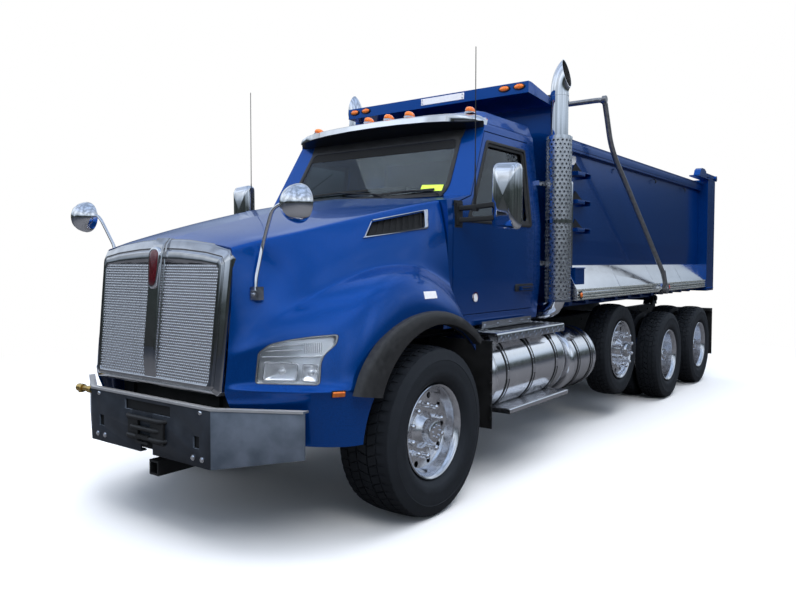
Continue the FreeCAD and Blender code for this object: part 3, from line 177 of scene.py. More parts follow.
# Name: two colours, two roughnesses, metal, and what else differs from surface()'s own values
FINISHES = {
    "blue_paint": ((0.0003, 0.062, 0.30), (0.0005, 0.075, 0.36), (0.24, 0.30), 0.75,
                   dict(scale=900.0, grain=35.0, relief=0.010, Coat_Weight=0.5, Coat_Roughness=0.02,
                        Specular_IOR_Level=0.2)),
    "chassis_black": (grey(0.008), grey(0.016), (0.42, 0.6), 0.0, dict(scale=9.0, relief=0.12)),
    "bumper_grey": ((0.10, 0.125, 0.16), (0.17, 0.20, 0.25), (0.28, 0.42), 0.35,
                    dict(scale=7.0, grain=60.0, relief=0.06)),
    "bumper_dark": ((0.022, 0.027, 0.036), (0.036, 0.043, 0.055), (0.3, 0.42), 0.2,
                    dict(scale=9.0, grain=60.0, relief=0.06)),
    # Pale grey of the bumper's top faces and top-edge strip: painted highlight.
    "bumper_edge": (grey(0.40), grey(0.44), (0.30, 0.36), 0.4, dict(relief=0.008)),
    "emblem_red": ((0.075, 0.004, 0.008), (0.11, 0.006, 0.012), (0.15, 0.22), 0.2,
                   dict(scale=60.0, grain=90.0, Coat_Weight=1.0)),
    "lamp_silver": (grey(0.92), grey(0.97), (0.14, 0.20), 0.50, dict(scale=12.0, grain=14.0, relief=0.02)),
    "stainless_guard": (grey(0.80), grey(0.90), (0.24, 0.32), 1.0, dict(scale=30.0, relief=0.04)),
    "soot": (grey(0.02), grey(0.05), (0.6, 0.8), 0.3, dict(scale=30.0)),
    "visor_black": (grey(0.008), grey(0.014), (0.3, 0.4), 0.0, dict(relief=0.05)),
    "polished_tank": (grey(0.88), grey(0.95), (0.14, 0.20), 1.0, dict(scale=18.0, grain=8.0, relief=0.06)),
    "pale_rail": ((0.62, 0.63, 0.58), (0.70, 0.71, 0.66), (0.25, 0.35), 0.7, dict(scale=30.0, relief=0.05)),
    "arm_steel": (grey(0.26), grey(0.36), (0.28, 0.4), 0.85, dict(scale=24.0, grain=90.0, relief=0.08)),
    "lamp_trim": (grey(0.30), grey(0.38), (0.15, 0.25), 0.8, dict(scale=60.0, relief=0.04)),
    "chrome": (grey(0.84), grey(0.88), (0.04, 0.09), 1.0, dict(scale=14.0, grain=3.0, relief=0.03)),
    "grille_chrome": (grey(0.50), grey(0.58), (0.05, 0.10), 1.0, dict(scale=14.0, grain=3.0, relief=0.03)),
    "aluminium": (grey(0.72), grey(0.84), (0.14, 0.26), 1.0, dict(scale=25.0, grain=240.0, relief=0.05)),
    "stainless": (grey(0.86), grey(0.92), (0.10, 0.17), 1.0,
                  dict(scale=6.0, grain=4.0, relief=0.25, stretch=(1, 1, 2.5))),
    "cylinder_steel": (grey(0.5), grey(0.58), (0.2, 0.3), 1.0, dict(scale=40.0, relief=0.02)),
    "tyre": ((0.008, 0.010, 0.013), (0.013, 0.015, 0.019), (0.6, 0.75), 0.0,
             dict(scale=16.0, grain=400.0, relief=0.25)),
    "black_plastic": (grey(0.013), grey(0.024), (0.42, 0.55), 0.0, dict(scale=30.0, grain=900.0, relief=0.2)),
    "seat_fabric": (grey(0.09), grey(0.13), (0.8, 0.9), 0.0, dict(scale=60.0, grain=1500.0, relief=0.4)),
    "flap_rubber": (grey(0.008), grey(0.014), (0.55, 0.7), 0.0, dict(scale=12.0, relief=0.15)),
    "amber": ((0.66, 0.13, 0.008), (0.76, 0.19, 0.015), (0.12, 0.2), 0.0,
              dict(scale=60.0, grain=500.0, relief=0.3, Coat_Weight=1.0)),
    "red": ((0.55, 0.01, 0.01), (0.7, 0.02, 0.02), (0.12, 0.2), 0.0,
            dict(scale=60.0, grain=500.0, relief=0.3, Coat_Weight=1.0)),
    "white": (grey(0.75), grey(0.82), (0.4, 0.5), 0.0, dict(scale=40.0, relief=0.03)),
    "brass": ((0.65, 0.42, 0.12), (0.75, 0.52, 0.18), (0.2, 0.3), 1.0, dict(scale=60.0)),
    "dark_mesh": (grey(0.006), grey(0.012), (0.7, 0.8), 0.0, dict(scale=60.0)),
    "sticker": ((0.55, 0.8, 0.05), (0.62, 0.85, 0.08), (0.5, 0.6), 0.0, dict(scale=60.0)),
}
MATERIALS = {name: surface(name, *row[:4], **row[4]) for name, row in FINISHES.items()}
MATERIALS["cab_glass"] = glass("cab_glass", (0.30, 0.36, 0.38))
MATERIALS["lamp_glass"] = glass("lamp_glass", (0.93, 0.95, 0.97))


# Mesh helpers

def linked(name, bm):
    """Object in the scene from a bmesh, which is used up."""
    mesh = bpy.data.meshes.new(name)
    bm.to_mesh(mesh)
    bm.free()
    obj = bpy.data.objects.new(name, mesh)
    bpy.context.scene.collection.objects.link(obj)
    return obj


def bevelled(obj, width, segments, degrees):
    """Rounds edges that are sharper than an angle."""
    edge = obj.modifiers.new("edges", "BEVEL")
    edge.width = width
    edge.segments = segments
    edge.limit_method = "ANGLE"
    edge.angle_limit = math.radians(degrees)


def piece(name, bm, material, body, replaces=(), bevel=0.0, smooth=True, segments=2):
    """Turns a bmesh into an object that rides on a body."""
    bm.normal_update()
    obj = linked(name, bm)
    names = [material] if isinstance(material, str) else material
    for m in names:
        obj.data.materials.append(MATERIALS[m])
    if smooth:
        obj.data.shade_smooth()
    if bevel:
        bevelled(obj, bevel, segments, 32)
        flat = obj.modifiers.new("normals", "WEIGHTED_NORMAL")
        flat.keep_sharp = True
    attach(obj, body)
    if names[0] in SLOT_NAMES:
        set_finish(obj, names[0])
    if replaces:
        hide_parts(replaces)
    return obj


def settle(obj):
    """Turns the piece's modifiers into plain mesh."""
    graph = bpy.context.evaluated_depsgraph_get()
    graph.update()
    new = bpy.data.meshes.new_from_object(obj.evaluated_get(graph), depsgraph=graph)
    obj.modifiers.clear()
    obj.data = new


def smooth_by_angle(obj, degrees=35):
    """Smooth shading that stays sharp over an angle."""
    obj.data.shade_smooth()
    obj.data.set_sharp_from_angle(angle=math.radians(degrees))


def mirrored_copy(obj, name):
    """The same piece on the truck's right, on the right-hand body."""
    mesh = obj.data.copy()
    mesh.transform(Matrix.Diagonal((-1, 1, 1, 1)))
    mesh.flip_normals()
    copy = bpy.data.objects.new(name, mesh)
    bpy.context.scene.collection.objects.link(copy)
    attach(copy, obj["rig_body"].replace("left", "right"))
    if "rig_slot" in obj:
        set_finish(copy, obj["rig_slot"])
    return copy


def both_pieces(name, bm, material, body, angle=None, **options):
    """Piece on the left, its bevel settled or its smoothing set by angle, and its image on the right."""
    left = piece(name + "_left", bm, material, body, **options)
    if angle:
        smooth_by_angle(left, angle)
    else:
        settle(left)
    return mirrored_copy(left, name + "_right")


def joined(*parts):
    """One bmesh from several."""
    whole = bmesh.new()
    for part in parts:
        mesh = bpy.data.meshes.new("part")
        part.to_mesh(mesh)
        part.free()
        whole.from_mesh(mesh)
        bpy.data.meshes.remove(mesh)
    return whole


def moved(bm, matrix):
    """The bmesh after a turn, a shift or both."""
    bmesh.ops.transform(bm, matrix=matrix, verts=bm.verts)
    return bm


def shifted(bm, place):
    """The bmesh after a shift."""
    return moved(bm, Matrix.Translation(place))


def facing(direction):
    """Turn that brings a shape's X axis to a direction."""
    return Vector(direction).normalized().to_track_quat("X", "Z").to_matrix().to_4x4()


def flipped(bm):
    """Mirror image across the middle plane."""
    copy = bm.copy()
    bmesh.ops.scale(copy, vec=(-1, 1, 1), verts=copy.verts)
    bmesh.ops.reverse_faces(copy, faces=copy.faces)
    return copy


def pair(bm):
    """The shape with its mirror image."""
    return joined(flipped(bm), bm)


def outwards(bm):
    """Turns every face of a closed shape to the outside."""
    bmesh.ops.recalc_face_normals(bm, faces=bm.faces)
    return bm


def block(low, high):
    """Box between two corners."""
    bm = bmesh.new()
    bmesh.ops.create_cube(bm, size=1.0)
    low, high = Vector(low), Vector(high)
    return outwards(moved(bm, Matrix.Translation((low + high) / 2) @ Matrix.Diagonal((*(high - low), 1))))


def slab(low, high):
    """Box between two design places."""
    return block(at(*low), at(*high))


def turned(profile, segments):
    """Solid of revolution about the X axis from (radius, x) corners."""
    bm = bmesh.new()
    rings = []
    for i in range(segments):
        a = 2 * math.pi * i / segments
        rings.append([bm.verts.new((x, r * math.sin(a), r * math.cos(a))) for r, x in profile])
    count = len(profile)
    for i in range(segments):
        here, there = rings[i - 1], rings[i]
        for j in range(count):
            k = (j + 1) % count
            bm.faces.new((here[j], here[k], there[k], there[j]))
    bmesh.ops.remove_doubles(bm, verts=bm.verts, dist=1e-6)
    return outwards(bm)


def drum(start, end, radius, segments, radius2=None):
    """Closed round bar or cone between two points."""
    start, end = Vector(start), Vector(end)
    run = end - start
    bm = bmesh.new()
    top = radius if radius2 is None else radius2
    bmesh.ops.create_cone(bm, cap_ends=True, segments=segments, radius1=radius, radius2=top, depth=run.length)
    turn = run.to_track_quat("Z", "Y").to_matrix().to_4x4()
    return moved(bm, Matrix.Translation((start + end) / 2) @ turn)


def bar(start, end, radius, segments, radius2=None):
    """Round bar or cone between two design places."""
    return drum(at(*start), at(*end), radius, segments, radius2)


def corner_arc(a, b, c, radius, steps):
    """Points of the arc that rounds the corner b."""
    back, ahead = a - b, c - b
    reach = min(radius, back.length * CORNER_REACH, ahead.length * CORNER_REACH)
    start, end = b + back.normalized() * reach, b + ahead.normalized() * reach
    return [start.lerp(b, i / steps).lerp(b.lerp(end, i / steps), i / steps) for i in range(steps + 1)]


def rounded_path(points, radius, steps=6):
    """Path through points with each corner turned into an arc."""
    points = [Vector(p) for p in points]
    path = [points[0]]
    for a, b, c in zip(points, points[1:], points[2:]):
        path += corner_arc(a, b, c, radius, steps)
    return path + [points[-1]]


def softened(outline, radius, steps=5):
    """Flat outline with its corners rounded."""
    points = [Vector((a, b, 0)) for a, b in outline]
    result = []
    for i, b in enumerate(points):
        after = points[(i + 1) % len(points)]
        result += [(p.x, p.y) for p in corner_arc(points[i - 1], b, after, radius, steps)]
    return result


def swept(points, outline, corner=0.0):
    """Sweeps a flat (u, v) outline along a path."""
    path = rounded_path(points, corner) if corner else [Vector(p) for p in points]
    bm = bmesh.new()
    rings = []
    side = None
    for i, p in enumerate(path):
        back = (p - path[i - 1]).normalized() if i else None
        ahead = (path[i + 1] - p).normalized() if i + 1 < len(path) else None
        along = ((back or ahead) + (ahead or back)).normalized()
        if side:
            side = (side - along * side.dot(along)).normalized()
        elif abs(along.z) > 0.9:
            side = along.orthogonal().normalized()
        else:
            side = along.cross(UP).normalized()
        up = side.cross(along)
        rings.append([bm.verts.new(p + side * u + up * v) for u, v in outline])
    count = len(outline)
    for here, there in zip(rings, rings[1:]):
        for j in range(count):
            k = (j + 1) % count
            bm.faces.new((here[j], here[k], there[k], there[j]))
    bm.faces.new(list(reversed(rings[0])))
    bm.faces.new(rings[-1])
    return outwards(bm)


def tube(points, radius, corner=0.03, sides=12):
    """Round bar along a path of points."""
    section = [(radius * math.cos(2 * math.pi * i / sides), radius * math.sin(2 * math.pi * i / sides))
               for i in range(sides)]
    return swept(points, section, corner)


def prism(outline, axis, low, high):
    """Solid with a flat outline, extruded along X, Y or Z; the outline holds the other two coordinates."""
    bm = bmesh.new()
    place = {"X": lambda a, b, h: (h, a, b), "Y": lambda a, b, h: (a, h, b),
             "Z": lambda a, b, h: (a, b, h)}[axis]
    rings = [[bm.verts.new(place(a, b, h)) for a, b in outline] for h in (low, high)]
    bm.faces.new(rings[0])
    bm.faces.new(list(reversed(rings[1])))
    for i in range(len(outline)):
        bm.faces.new((rings[0][i - 1], rings[1][i - 1], rings[1][i], rings[0][i]))
    return outwards(bm)


def across(outline, low, high):
    """Prism over X from design (y, z) corners."""
    return prism([(frame_y(y), z) for y, z in outline], "X", low, high)


def lengthways(outline, front, back):
    """Prism over the design Y from (x, z) corners."""
    return prism(outline, "Y", frame_y(front), frame_y(back))


def ring_mesh(loops, closed=True):
    """Tube of faces through loops of equal length."""
    bm = bmesh.new()
    grid = [[bm.verts.new(p) for p in loop] for loop in loops]
    pairs = list(zip(grid, grid[1:])) + ([(grid[-1], grid[0])] if closed else [])
    for a, b in pairs:
        for i in range(len(a)):
            bm.faces.new((a[i - 1], a[i], b[i], b[i - 1]))
    return outwards(bm)


def inset(outline, distance):
    """Convex outline with every side moved inwards."""
    points = [Vector((a, b, 0)) for a, b in outline]
    centre = sum(points, Vector()) / len(points)
    result = []
    for i, b in enumerate(points):
        offsets = []
        for start, end in ((points[i - 1], b), (b, points[(i + 1) % len(points)])):
            along = (end - start).normalized()
            inward = Vector((-along.y, along.x, 0))
            if inward.dot(centre - start) < 0:
                inward = -inward
            offsets.append((start + inward * distance, along))
        (p, u), (q, v) = offsets
        turn = u.x * v.y - u.y * v.x
        corner = q if abs(turn) < 1e-4 else p + u * (((q - p).x * v.y - (q - p).y * v.x) / turn)
        result.append((corner.x, corner.y))
    return result


def cut(obj, tool):
    """Takes a bmesh away from a piece at once."""
    cutter = linked("tool", tool)
    step = obj.modifiers.new("cut", "BOOLEAN")
    step.object = cutter
    step.operation = "DIFFERENCE"
    step.solver = "MANIFOLD"
    settle(obj)
    mesh = cutter.data
    bpy.data.objects.remove(cutter)
    bpy.data.meshes.remove(mesh)


def cad_shape(node):
    """CAD solid with its flat faces joined."""
    bm = bmesh.new()
    bm.from_mesh(NODES[node].data)
    bmesh.ops.remove_doubles(bm, verts=bm.verts, dist=1e-5)
    bmesh.ops.dissolve_limit(bm, angle_limit=math.radians(1.0), verts=bm.verts, edges=bm.edges)
    return bm


def dressed(node, material, bevel, segments=2):
    """CAD solid with its edges rounded."""
    bm = cad_shape(node)
    for face in bm.faces:
        face.material_index = 0
    obj = piece(node + "_dressed", bm, material, BODY_OF[node], replaces=node, bevel=bevel, smooth=False,
                segments=segments)
    obj.data.shade_smooth()
    return obj


def evaluated_tree(obj):
    """The piece's surface for casting rays at it."""
    graph = bpy.context.evaluated_depsgraph_get()
    graph.update()
    return BVHTree.FromObject(obj, graph)


def cast(tree, start, direction):
    """Where a ray meets a surface, with its outward direction."""
    return tree.ray_cast(start, direction)[:2]


def on_side(tree, y, z):
    """Where a line from the left meets a surface."""
    return cast(tree, at(1.6, y, z), -LEFTWARD)


def dome(place, direction, radius, height, sides=16):
    """Bolt head or small lens on a surface."""
    profile = [(POINT_R, height), (radius * 0.55, height * 0.86), (radius * 0.86, height * 0.5),
               (radius, 0.0), (radius, -0.004), (POINT_R, -0.004)]
    return moved(turned(profile, sides), Matrix.Translation(place) @ facing(direction))


def bolt(place, direction, radius):
    """Hexagon head on a round washer."""
    wide = radius * 1.25
    washer = turned([(POINT_R, 0.003), (wide, 0.003), (wide, -0.003), (POINT_R, -0.003)], 16)
    head = turned([(POINT_R, 0.010), (radius * 0.82, 0.010), (radius, 0.008), (radius, 0.002),
                   (POINT_R, 0.002)], 6)
    return moved(joined(washer, head), Matrix.Translation(place) @ facing(direction))


# Camera, lights and stage

VIEW_FROM = (3.7386, -3.7884, 1.6319)
VIEW_AZIMUTH = math.radians(36.691)
VIEW_PITCH = math.radians(-2.353)
VIEW_ROLL = math.radians(0.104)
LENS_MM = 32.49
LENS_SHIFT = (-0.0025, -0.0094)
WORLD_STRENGTH = 0.85
# Height of a direction, 0 straight down and 1 straight up, and the sky's colour there
SKY = ((0.40, (0.16, 0.17, 0.18, 1)), (0.49, (0.05, 0.055, 0.06, 1)), (0.55, (0.05, 0.065, 0.065, 1)),
       (0.59, (0.55, 0.66, 0.80, 1)), (0.66, (0.90, 1.0, 1.12, 1)), (0.80, (0.66, 0.80, 1.05, 1)),
       (1.0, (0.50, 0.66, 0.95, 1)))
FLOOR_RADIUS = 60.0
FADE_FROM = 5.0
FADE_TO = 9.0
# Place, aim, size and watts
LAMPS = {"key": ((6.5, -4.5, 8.0), (0, 1.5, 1.2), (4, 4), 420),
         "top": ((0, 2.0, 9.0), (0, 2.0, 0), (12, 14), 1900),
         "fill": ((-7.0, -5.0, 4.5), (0, 1.0, 1.2), (5, 4), 60),
         "back": ((2.0, 12.0, 6.0), (0, 3.0, 1.5), (6, 4), 120)}


def make_camera():
    """Camera fitted to the photograph."""
    a, t, r = VIEW_AZIMUTH, VIEW_PITCH, VIEW_ROLL
    ahead = Vector((-math.sin(a) * math.cos(t), math.cos(a) * math.cos(t), math.sin(t)))
    right = Vector((math.cos(a), math.sin(a), 0.0))
    up = right.cross(ahead)
    side = right * math.cos(r) + up * math.sin(r)
    top = up * math.cos(r) - right * math.sin(r)
    data = bpy.data.cameras.new("camera")
    data.lens = LENS_MM
    data.shift_x, data.shift_y = LENS_SHIFT
    camera = bpy.data.objects.new("camera", data)
    turn = Matrix((side, top, -ahead)).transposed().to_4x4()
    camera.matrix_world = Matrix.Translation(at(*VIEW_FROM)) @ turn
    bpy.context.scene.collection.objects.link(camera)
    bpy.context.scene.camera = camera


def make_lights():
    """Soft lamps that metal doesn't mirror."""
    for name, (place, aim, size, power) in LAMPS.items():
        data = bpy.data.lights.new(name, "AREA")
        data.shape = "RECTANGLE"
        data.size, data.size_y = size
        data.energy = power
        lamp = bpy.data.objects.new(name, data)
        lamp.location = at(*place)
        lamp.rotation_euler = (at(*aim) - at(*place)).to_track_quat("-Z", "Y").to_euler()
        lamp.visible_glossy = False
        bpy.context.scene.collection.objects.link(lamp)


def make_world():
    """White to the camera; a pale sky over a dark horizon for what the truck's metal reflects."""
    world = bpy.data.worlds.new("studio")
    bpy.context.scene.world = world
    world.use_nodes = True
    tree = world.node_tree
    tree.nodes.clear()
    link = tree.links.new
    out = add(tree, "ShaderNodeOutputWorld")
    light = add(tree, "ShaderNodeLightPath")
    where = add(tree, "ShaderNodeTexCoord")
    split = add(tree, "ShaderNodeSeparateXYZ")
    link(where.outputs["Generated"], split.inputs[0])
    sky = add(tree, "ShaderNodeValToRGB")
    stops = sky.color_ramp.elements
    stops[0].position, stops[0].color = SKY[0]
    stops[1].position, stops[1].color = SKY[-1]
    for position, colour in SKY[1:-1]:
        stops.new(position).color = colour
    half = add(tree, "ShaderNodeMath", operation="MULTIPLY_ADD")
    half.inputs[1].default_value = 0.5
    half.inputs[2].default_value = 0.5
    link(split.outputs["Z"], half.inputs[0])
    link(half.outputs[0], sky.inputs["Fac"])
    clouds = add(tree, "ShaderNodeTexNoise", Scale=2.6, Detail=5.0, Roughness=0.6)
    link(where.outputs["Generated"], clouds.inputs["Vector"])
    cover = ramp(tree, clouds.outputs["Fac"], (0.62, 0.62, 0.62), (1.35, 1.35, 1.35), 0.42, 0.62)
    cloudy = add(tree, "ShaderNodeVectorMath", operation="MULTIPLY")
    link(sky.outputs["Color"], cloudy.inputs[0])
    link(cover, cloudy.inputs[1])
    seen = add(tree, "ShaderNodeBackground", Color=(1, 1, 1, 1))
    lit = add(tree, "ShaderNodeBackground", Strength=WORLD_STRENGTH)
    link(cloudy.outputs["Vector"], lit.inputs["Color"])
    mix = add(tree, "ShaderNodeMixShader")
    link(light.outputs["Is Camera Ray"], mix.inputs["Fac"])
    link(lit.outputs[0], mix.inputs[1])
    link(seen.outputs[0], mix.inputs[2])
    link(mix.outputs[0], out.inputs["Surface"])


def make_floor():
    """Pale floor that keeps the truck's shadow and turns plain white further off."""
    bm = bmesh.new()
    bmesh.ops.create_circle(bm, cap_ends=True, segments=96, radius=FLOOR_RADIUS)
    floor = linked("floor", bm)
    material, tree, shader = node_tree("floor")
    link = tree.links.new
    shader.inputs["Base Color"].default_value = (0.82, 0.82, 0.82, 1)
    shader.inputs["Roughness"].default_value = 0.6
    shader.inputs["Specular IOR Level"].default_value = 0.1
    where = add(tree, "ShaderNodeTexCoord")
    length = add(tree, "ShaderNodeVectorMath", operation="LENGTH")
    link(where.outputs["Object"], length.inputs[0])
    fade = add(tree, "ShaderNodeMapRange", interpolation_type="SMOOTHSTEP")
    fade.inputs["From Min"].default_value = FADE_FROM
    fade.inputs["From Max"].default_value = FADE_TO
    link(length.outputs["Value"], fade.inputs["Value"])
    paths = add(tree, "ShaderNodeLightPath")
    seen = add(tree, "ShaderNodeMath", operation="MULTIPLY")
    link(paths.outputs["Is Camera Ray"], seen.inputs[0])
    link(fade.outputs["Result"], seen.inputs[1])
    white = add(tree, "ShaderNodeEmission")
    mix = add(tree, "ShaderNodeMixShader")
    link(seen.outputs[0], mix.inputs["Fac"])
    pavement = add(tree, "ShaderNodeBsdfDiffuse", Color=(0.10, 0.10, 0.105, 1))
    ground = add(tree, "ShaderNodeMixShader")
    link(paths.outputs["Is Camera Ray"], ground.inputs["Fac"])
    link(pavement.outputs[0], ground.inputs[1])
    link(shader.outputs[0], ground.inputs[2])
    link(ground.outputs[0], mix.inputs[1])
    link(white.outputs[0], mix.inputs[2])
    link(mix.outputs[0], tree.nodes["Material Output"].inputs["Surface"])
    floor.data.materials.append(material)


def dress_nodes():
    """Finish of every CAD solid that stays as it is."""
    for row in frame["record"]["subparts"]:
        mesh = NODES[row["node"]].data
        mesh.materials.clear()
        mesh.materials.append(MATERIALS[row["material_slot"]])
        for polygon in mesh.polygons:
            polygon.material_index = 0


# Wheels

FLANGE_R = 0.300
SEAT_R = 0.286
LIP_R = 0.304
DISC_T = 0.014
HUB_R = 0.112
SPINDLE_R = 0.0425
BOLT_CIRCLE = 0.1675
NUT_COUNT = 10
NUT_R = 0.019
STUD_CIRCLE = 0.040
STUD_COUNT = 8
HAND_HOLE_R = 0.021
HAND_HOLE_CIRCLE = 0.224
TREAD_DEPTH = 0.014
TREAD_CROWN = 0.010
TREAD_GAP = 0.16        # share of a pitch that is open in the middle rows
GROOVE = 0.011
TWIN_TYRE_W = 0.279
WHEEL_SEGMENTS = 96
# Share of the sidewall's height, share of the half width
SIDEWALL = ((0.14, 0.86), (0.18, 0.90), (0.20, 0.915), (0.34, 0.97), (0.37, 0.962), (0.50, 0.985),
            (0.64, 0.965), (0.655, 0.975), (0.675, 0.962), (0.82, 0.92))
# Quads of a tread block by the numbers of its corners, low and top in turn
BLOCK_QUADS = ((1, 3, 9, 7), (3, 5, 11, 9), (0, 1, 7, 6), (4, 10, 11, 5), (0, 2, 3, 1), (2, 4, 5, 3),
               (6, 7, 9, 8), (8, 9, 11, 10), (0, 6, 8, 2), (2, 8, 10, 4))
WHEEL_MESHES = {}
STEER_R, LIFT_R, DRIVE_R = (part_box(n)[1].z - middle(n).z
                            for n in ("tyre_front_left", "tyre_lift_left", "tyres_drive1_left"))


def angles(count, start=0.0):
    """Angles of equal parts of a turn."""
    return [math.tau * (i + start) / count for i in range(count)]


def on_circle(radius, count, start=0.0):
    """(y, z) places of a bolt circle."""
    return [(radius * math.sin(a), radius * math.cos(a)) for a in angles(count, start)]


def tread_blocks(radius, tread, pitches, shoulder_cut):
    """Five rows of blocks, the middle three skewed."""
    base = radius - TREAD_DEPTH
    blocks = bmesh.new()
    inner = tread * 0.60
    edges = [-tread, -inner, -inner * 0.36, inner * 0.36, inner, tread]
    step = 2 * math.pi / pitches
    for row, (x0, x1) in enumerate(zip(edges, edges[1:])):
        x0, x1 = x0 + GROOVE / 2 * (row > 0), x1 - GROOVE / 2 * (row < 4)
        gap = shoulder_cut if row in (0, 4) else TREAD_GAP
        skew = (0.0, 0.35, -0.35, 0.35, 0.0)[row]
        for i in range(pitches):
            start = 2 * math.pi * (i + 0.5 * (row % 2)) / pitches
            corners = []
            for x, shift in ((x0, 0.0), (x1, skew)):
                edge = abs(x) > tread - 1e-6
                top = radius - TREAD_CROWN * (x / tread) ** 2 - (0.006 if edge else 0.0)
                low = base - (0.020 if edge else 0.004)
                for part in (0.0, 0.5, 1.0):
                    angle = start + step * (shift + part * (1 - gap))
                    corners += [blocks.verts.new((x, r * math.sin(angle), r * math.cos(angle)))
                                for r in (low, top)]
            for quad in BLOCK_QUADS:
                blocks.faces.new([corners[n] for n in quad])
    return outwards(blocks)


def tyre_shape(radius, width, pitches, shoulder_cut):
    """Carcass with its sidewall rings, and its tread."""
    half = width / 2
    base = radius - TREAD_DEPTH
    side = [(0.290, 0.60), (0.302, 0.66), (0.316, 0.78)]
    side += [(FLANGE_R + (radius - FLANGE_R) * rise, out) for rise, out in SIDEWALL]
    side += [(base - 0.006, 0.87), (base, 0.80), (base + 0.002, 0.4)]
    profile = [(r, x * half) for r, x in side] + [(r, -x * half) for r, x in reversed(side)]
    return joined(turned(profile, WHEEL_SEGMENTS), tread_blocks(radius, half * 0.86, pitches, shoulder_cut))


def rim_shape(width, dish, hub_out, bore_end):
    """Disc wheel with its hub; dish is how far the disc's face lies behind the outer lip."""
    lip = width / 2
    face = lip - dish
    back = face - DISC_T
    profile = [(0, hub_out), (0.052, hub_out), (0.068, hub_out - 0.006), (0.074, hub_out - 0.020),
               (0.078, face + 0.050), (0.092, face + 0.036), (0.108, face + 0.012), (0.122, face + 0.002),
               (0.235, face), (0.248, face + 0.002), (0.257, face + 0.014), (0.262, face + 0.030),
               (0.268, lip - 0.050), (0.272, lip - 0.030), (0.284, lip - 0.012), (0.294, lip - 0.002),
               (FLANGE_R, lip), (LIP_R, lip - 0.004), (LIP_R, lip - 0.012), (0.292, lip - 0.016),
               (SEAT_R, lip - 0.024), (SEAT_R, 0.024 - lip), (0.292, 0.016 - lip), (LIP_R, 0.012 - lip),
               (LIP_R, 0.004 - lip), (FLANGE_R, -lip), (0.272, 0.004 - lip), (0.262, back), (0.250, back),
               (HUB_R, back), (HUB_R, face - 0.090), (SPINDLE_R, face - 0.090), (SPINDLE_R, bore_end),
               (0, bore_end)]
    obj = linked("rim", turned(profile, WHEEL_SEGMENTS))
    cut(obj, joined(*[drum((face - 0.05, y, z), (face + 0.05, y, z), HAND_HOLE_R, 20)
                      for y, z in on_circle(HAND_HOLE_CIRCLE, NUT_COUNT, 0.5)]))
    bm = bmesh.new()
    bm.from_mesh(obj.data)
    bpy.data.objects.remove(obj)
    return bm


def inner_rim_shape(width, seat):
    """Rim of a twin pair's inner wheel, with its disc against the outer one's."""
    lip = width / 2
    bore = HUB_R + 0.0003
    profile = [(FLANGE_R, -lip), (LIP_R, 0.004 - lip), (LIP_R, 0.012 - lip), (SEAT_R, 0.024 - lip),
               (SEAT_R, lip - 0.024), (LIP_R, lip - 0.012), (LIP_R, lip - 0.004), (FLANGE_R, lip),
               (0.272, lip), (0.256, seat), (bore, seat), (bore, seat - DISC_T), (0.250, seat - DISC_T),
               (0.264, -lip)]
    return turned(profile, WHEEL_SEGMENTS)


def nut_shape(face, length, hub_out):
    """Ring of long nut covers and a small ring of hub studs."""
    parts = []
    end = face + length
    for y, z in on_circle(BOLT_CIRCLE, NUT_COUNT):
        parts.append(drum((face - 0.001, y, z), (face + 0.012, y, z), NUT_R * 1.22, 16, NUT_R * 1.12))
        parts.append(drum((face + 0.010, y, z), (end - 0.010, y, z), NUT_R, 12))
        parts.append(drum((end - 0.010, y, z), (end, y, z), NUT_R, 12, NUT_R * 0.55))
    for y, z in on_circle(STUD_CIRCLE, STUD_COUNT):
        parts.append(drum((hub_out - 0.003, y, z), (hub_out + 0.009, y, z), 0.0085, 6))
    return joined(*parts)


def place_wheel(name, shape_name, material, centre, side, body, node=None):
    """One object that shares its mesh with the like wheels."""
    obj = bpy.data.objects.new(name, WHEEL_MESHES[shape_name])
    turn = Matrix.Identity(4) if side > 0 else Matrix.Rotation(math.pi, 4, "Z")
    obj.matrix_world = Matrix.Translation(centre) @ turn
    bpy.context.scene.collection.objects.link(obj)
    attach(obj, body)
    if material in SLOT_NAMES:
        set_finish(obj, material)
    if node:
        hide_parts(node)


def wheel_mesh(name, bm, material):
    """Mesh that the like wheels share."""
    mesh = bpy.data.meshes.new(name)
    bm.normal_update()
    bm.to_mesh(mesh)
    bm.free()
    mesh.materials.append(MATERIALS[material])
    mesh.shade_smooth()
    mesh.set_sharp_from_angle(angle=0.55)
    WHEEL_MESHES[name] = mesh


def width_of(node):
    """Size of a CAD node along X."""
    low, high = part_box(node)
    return high.x - low.x


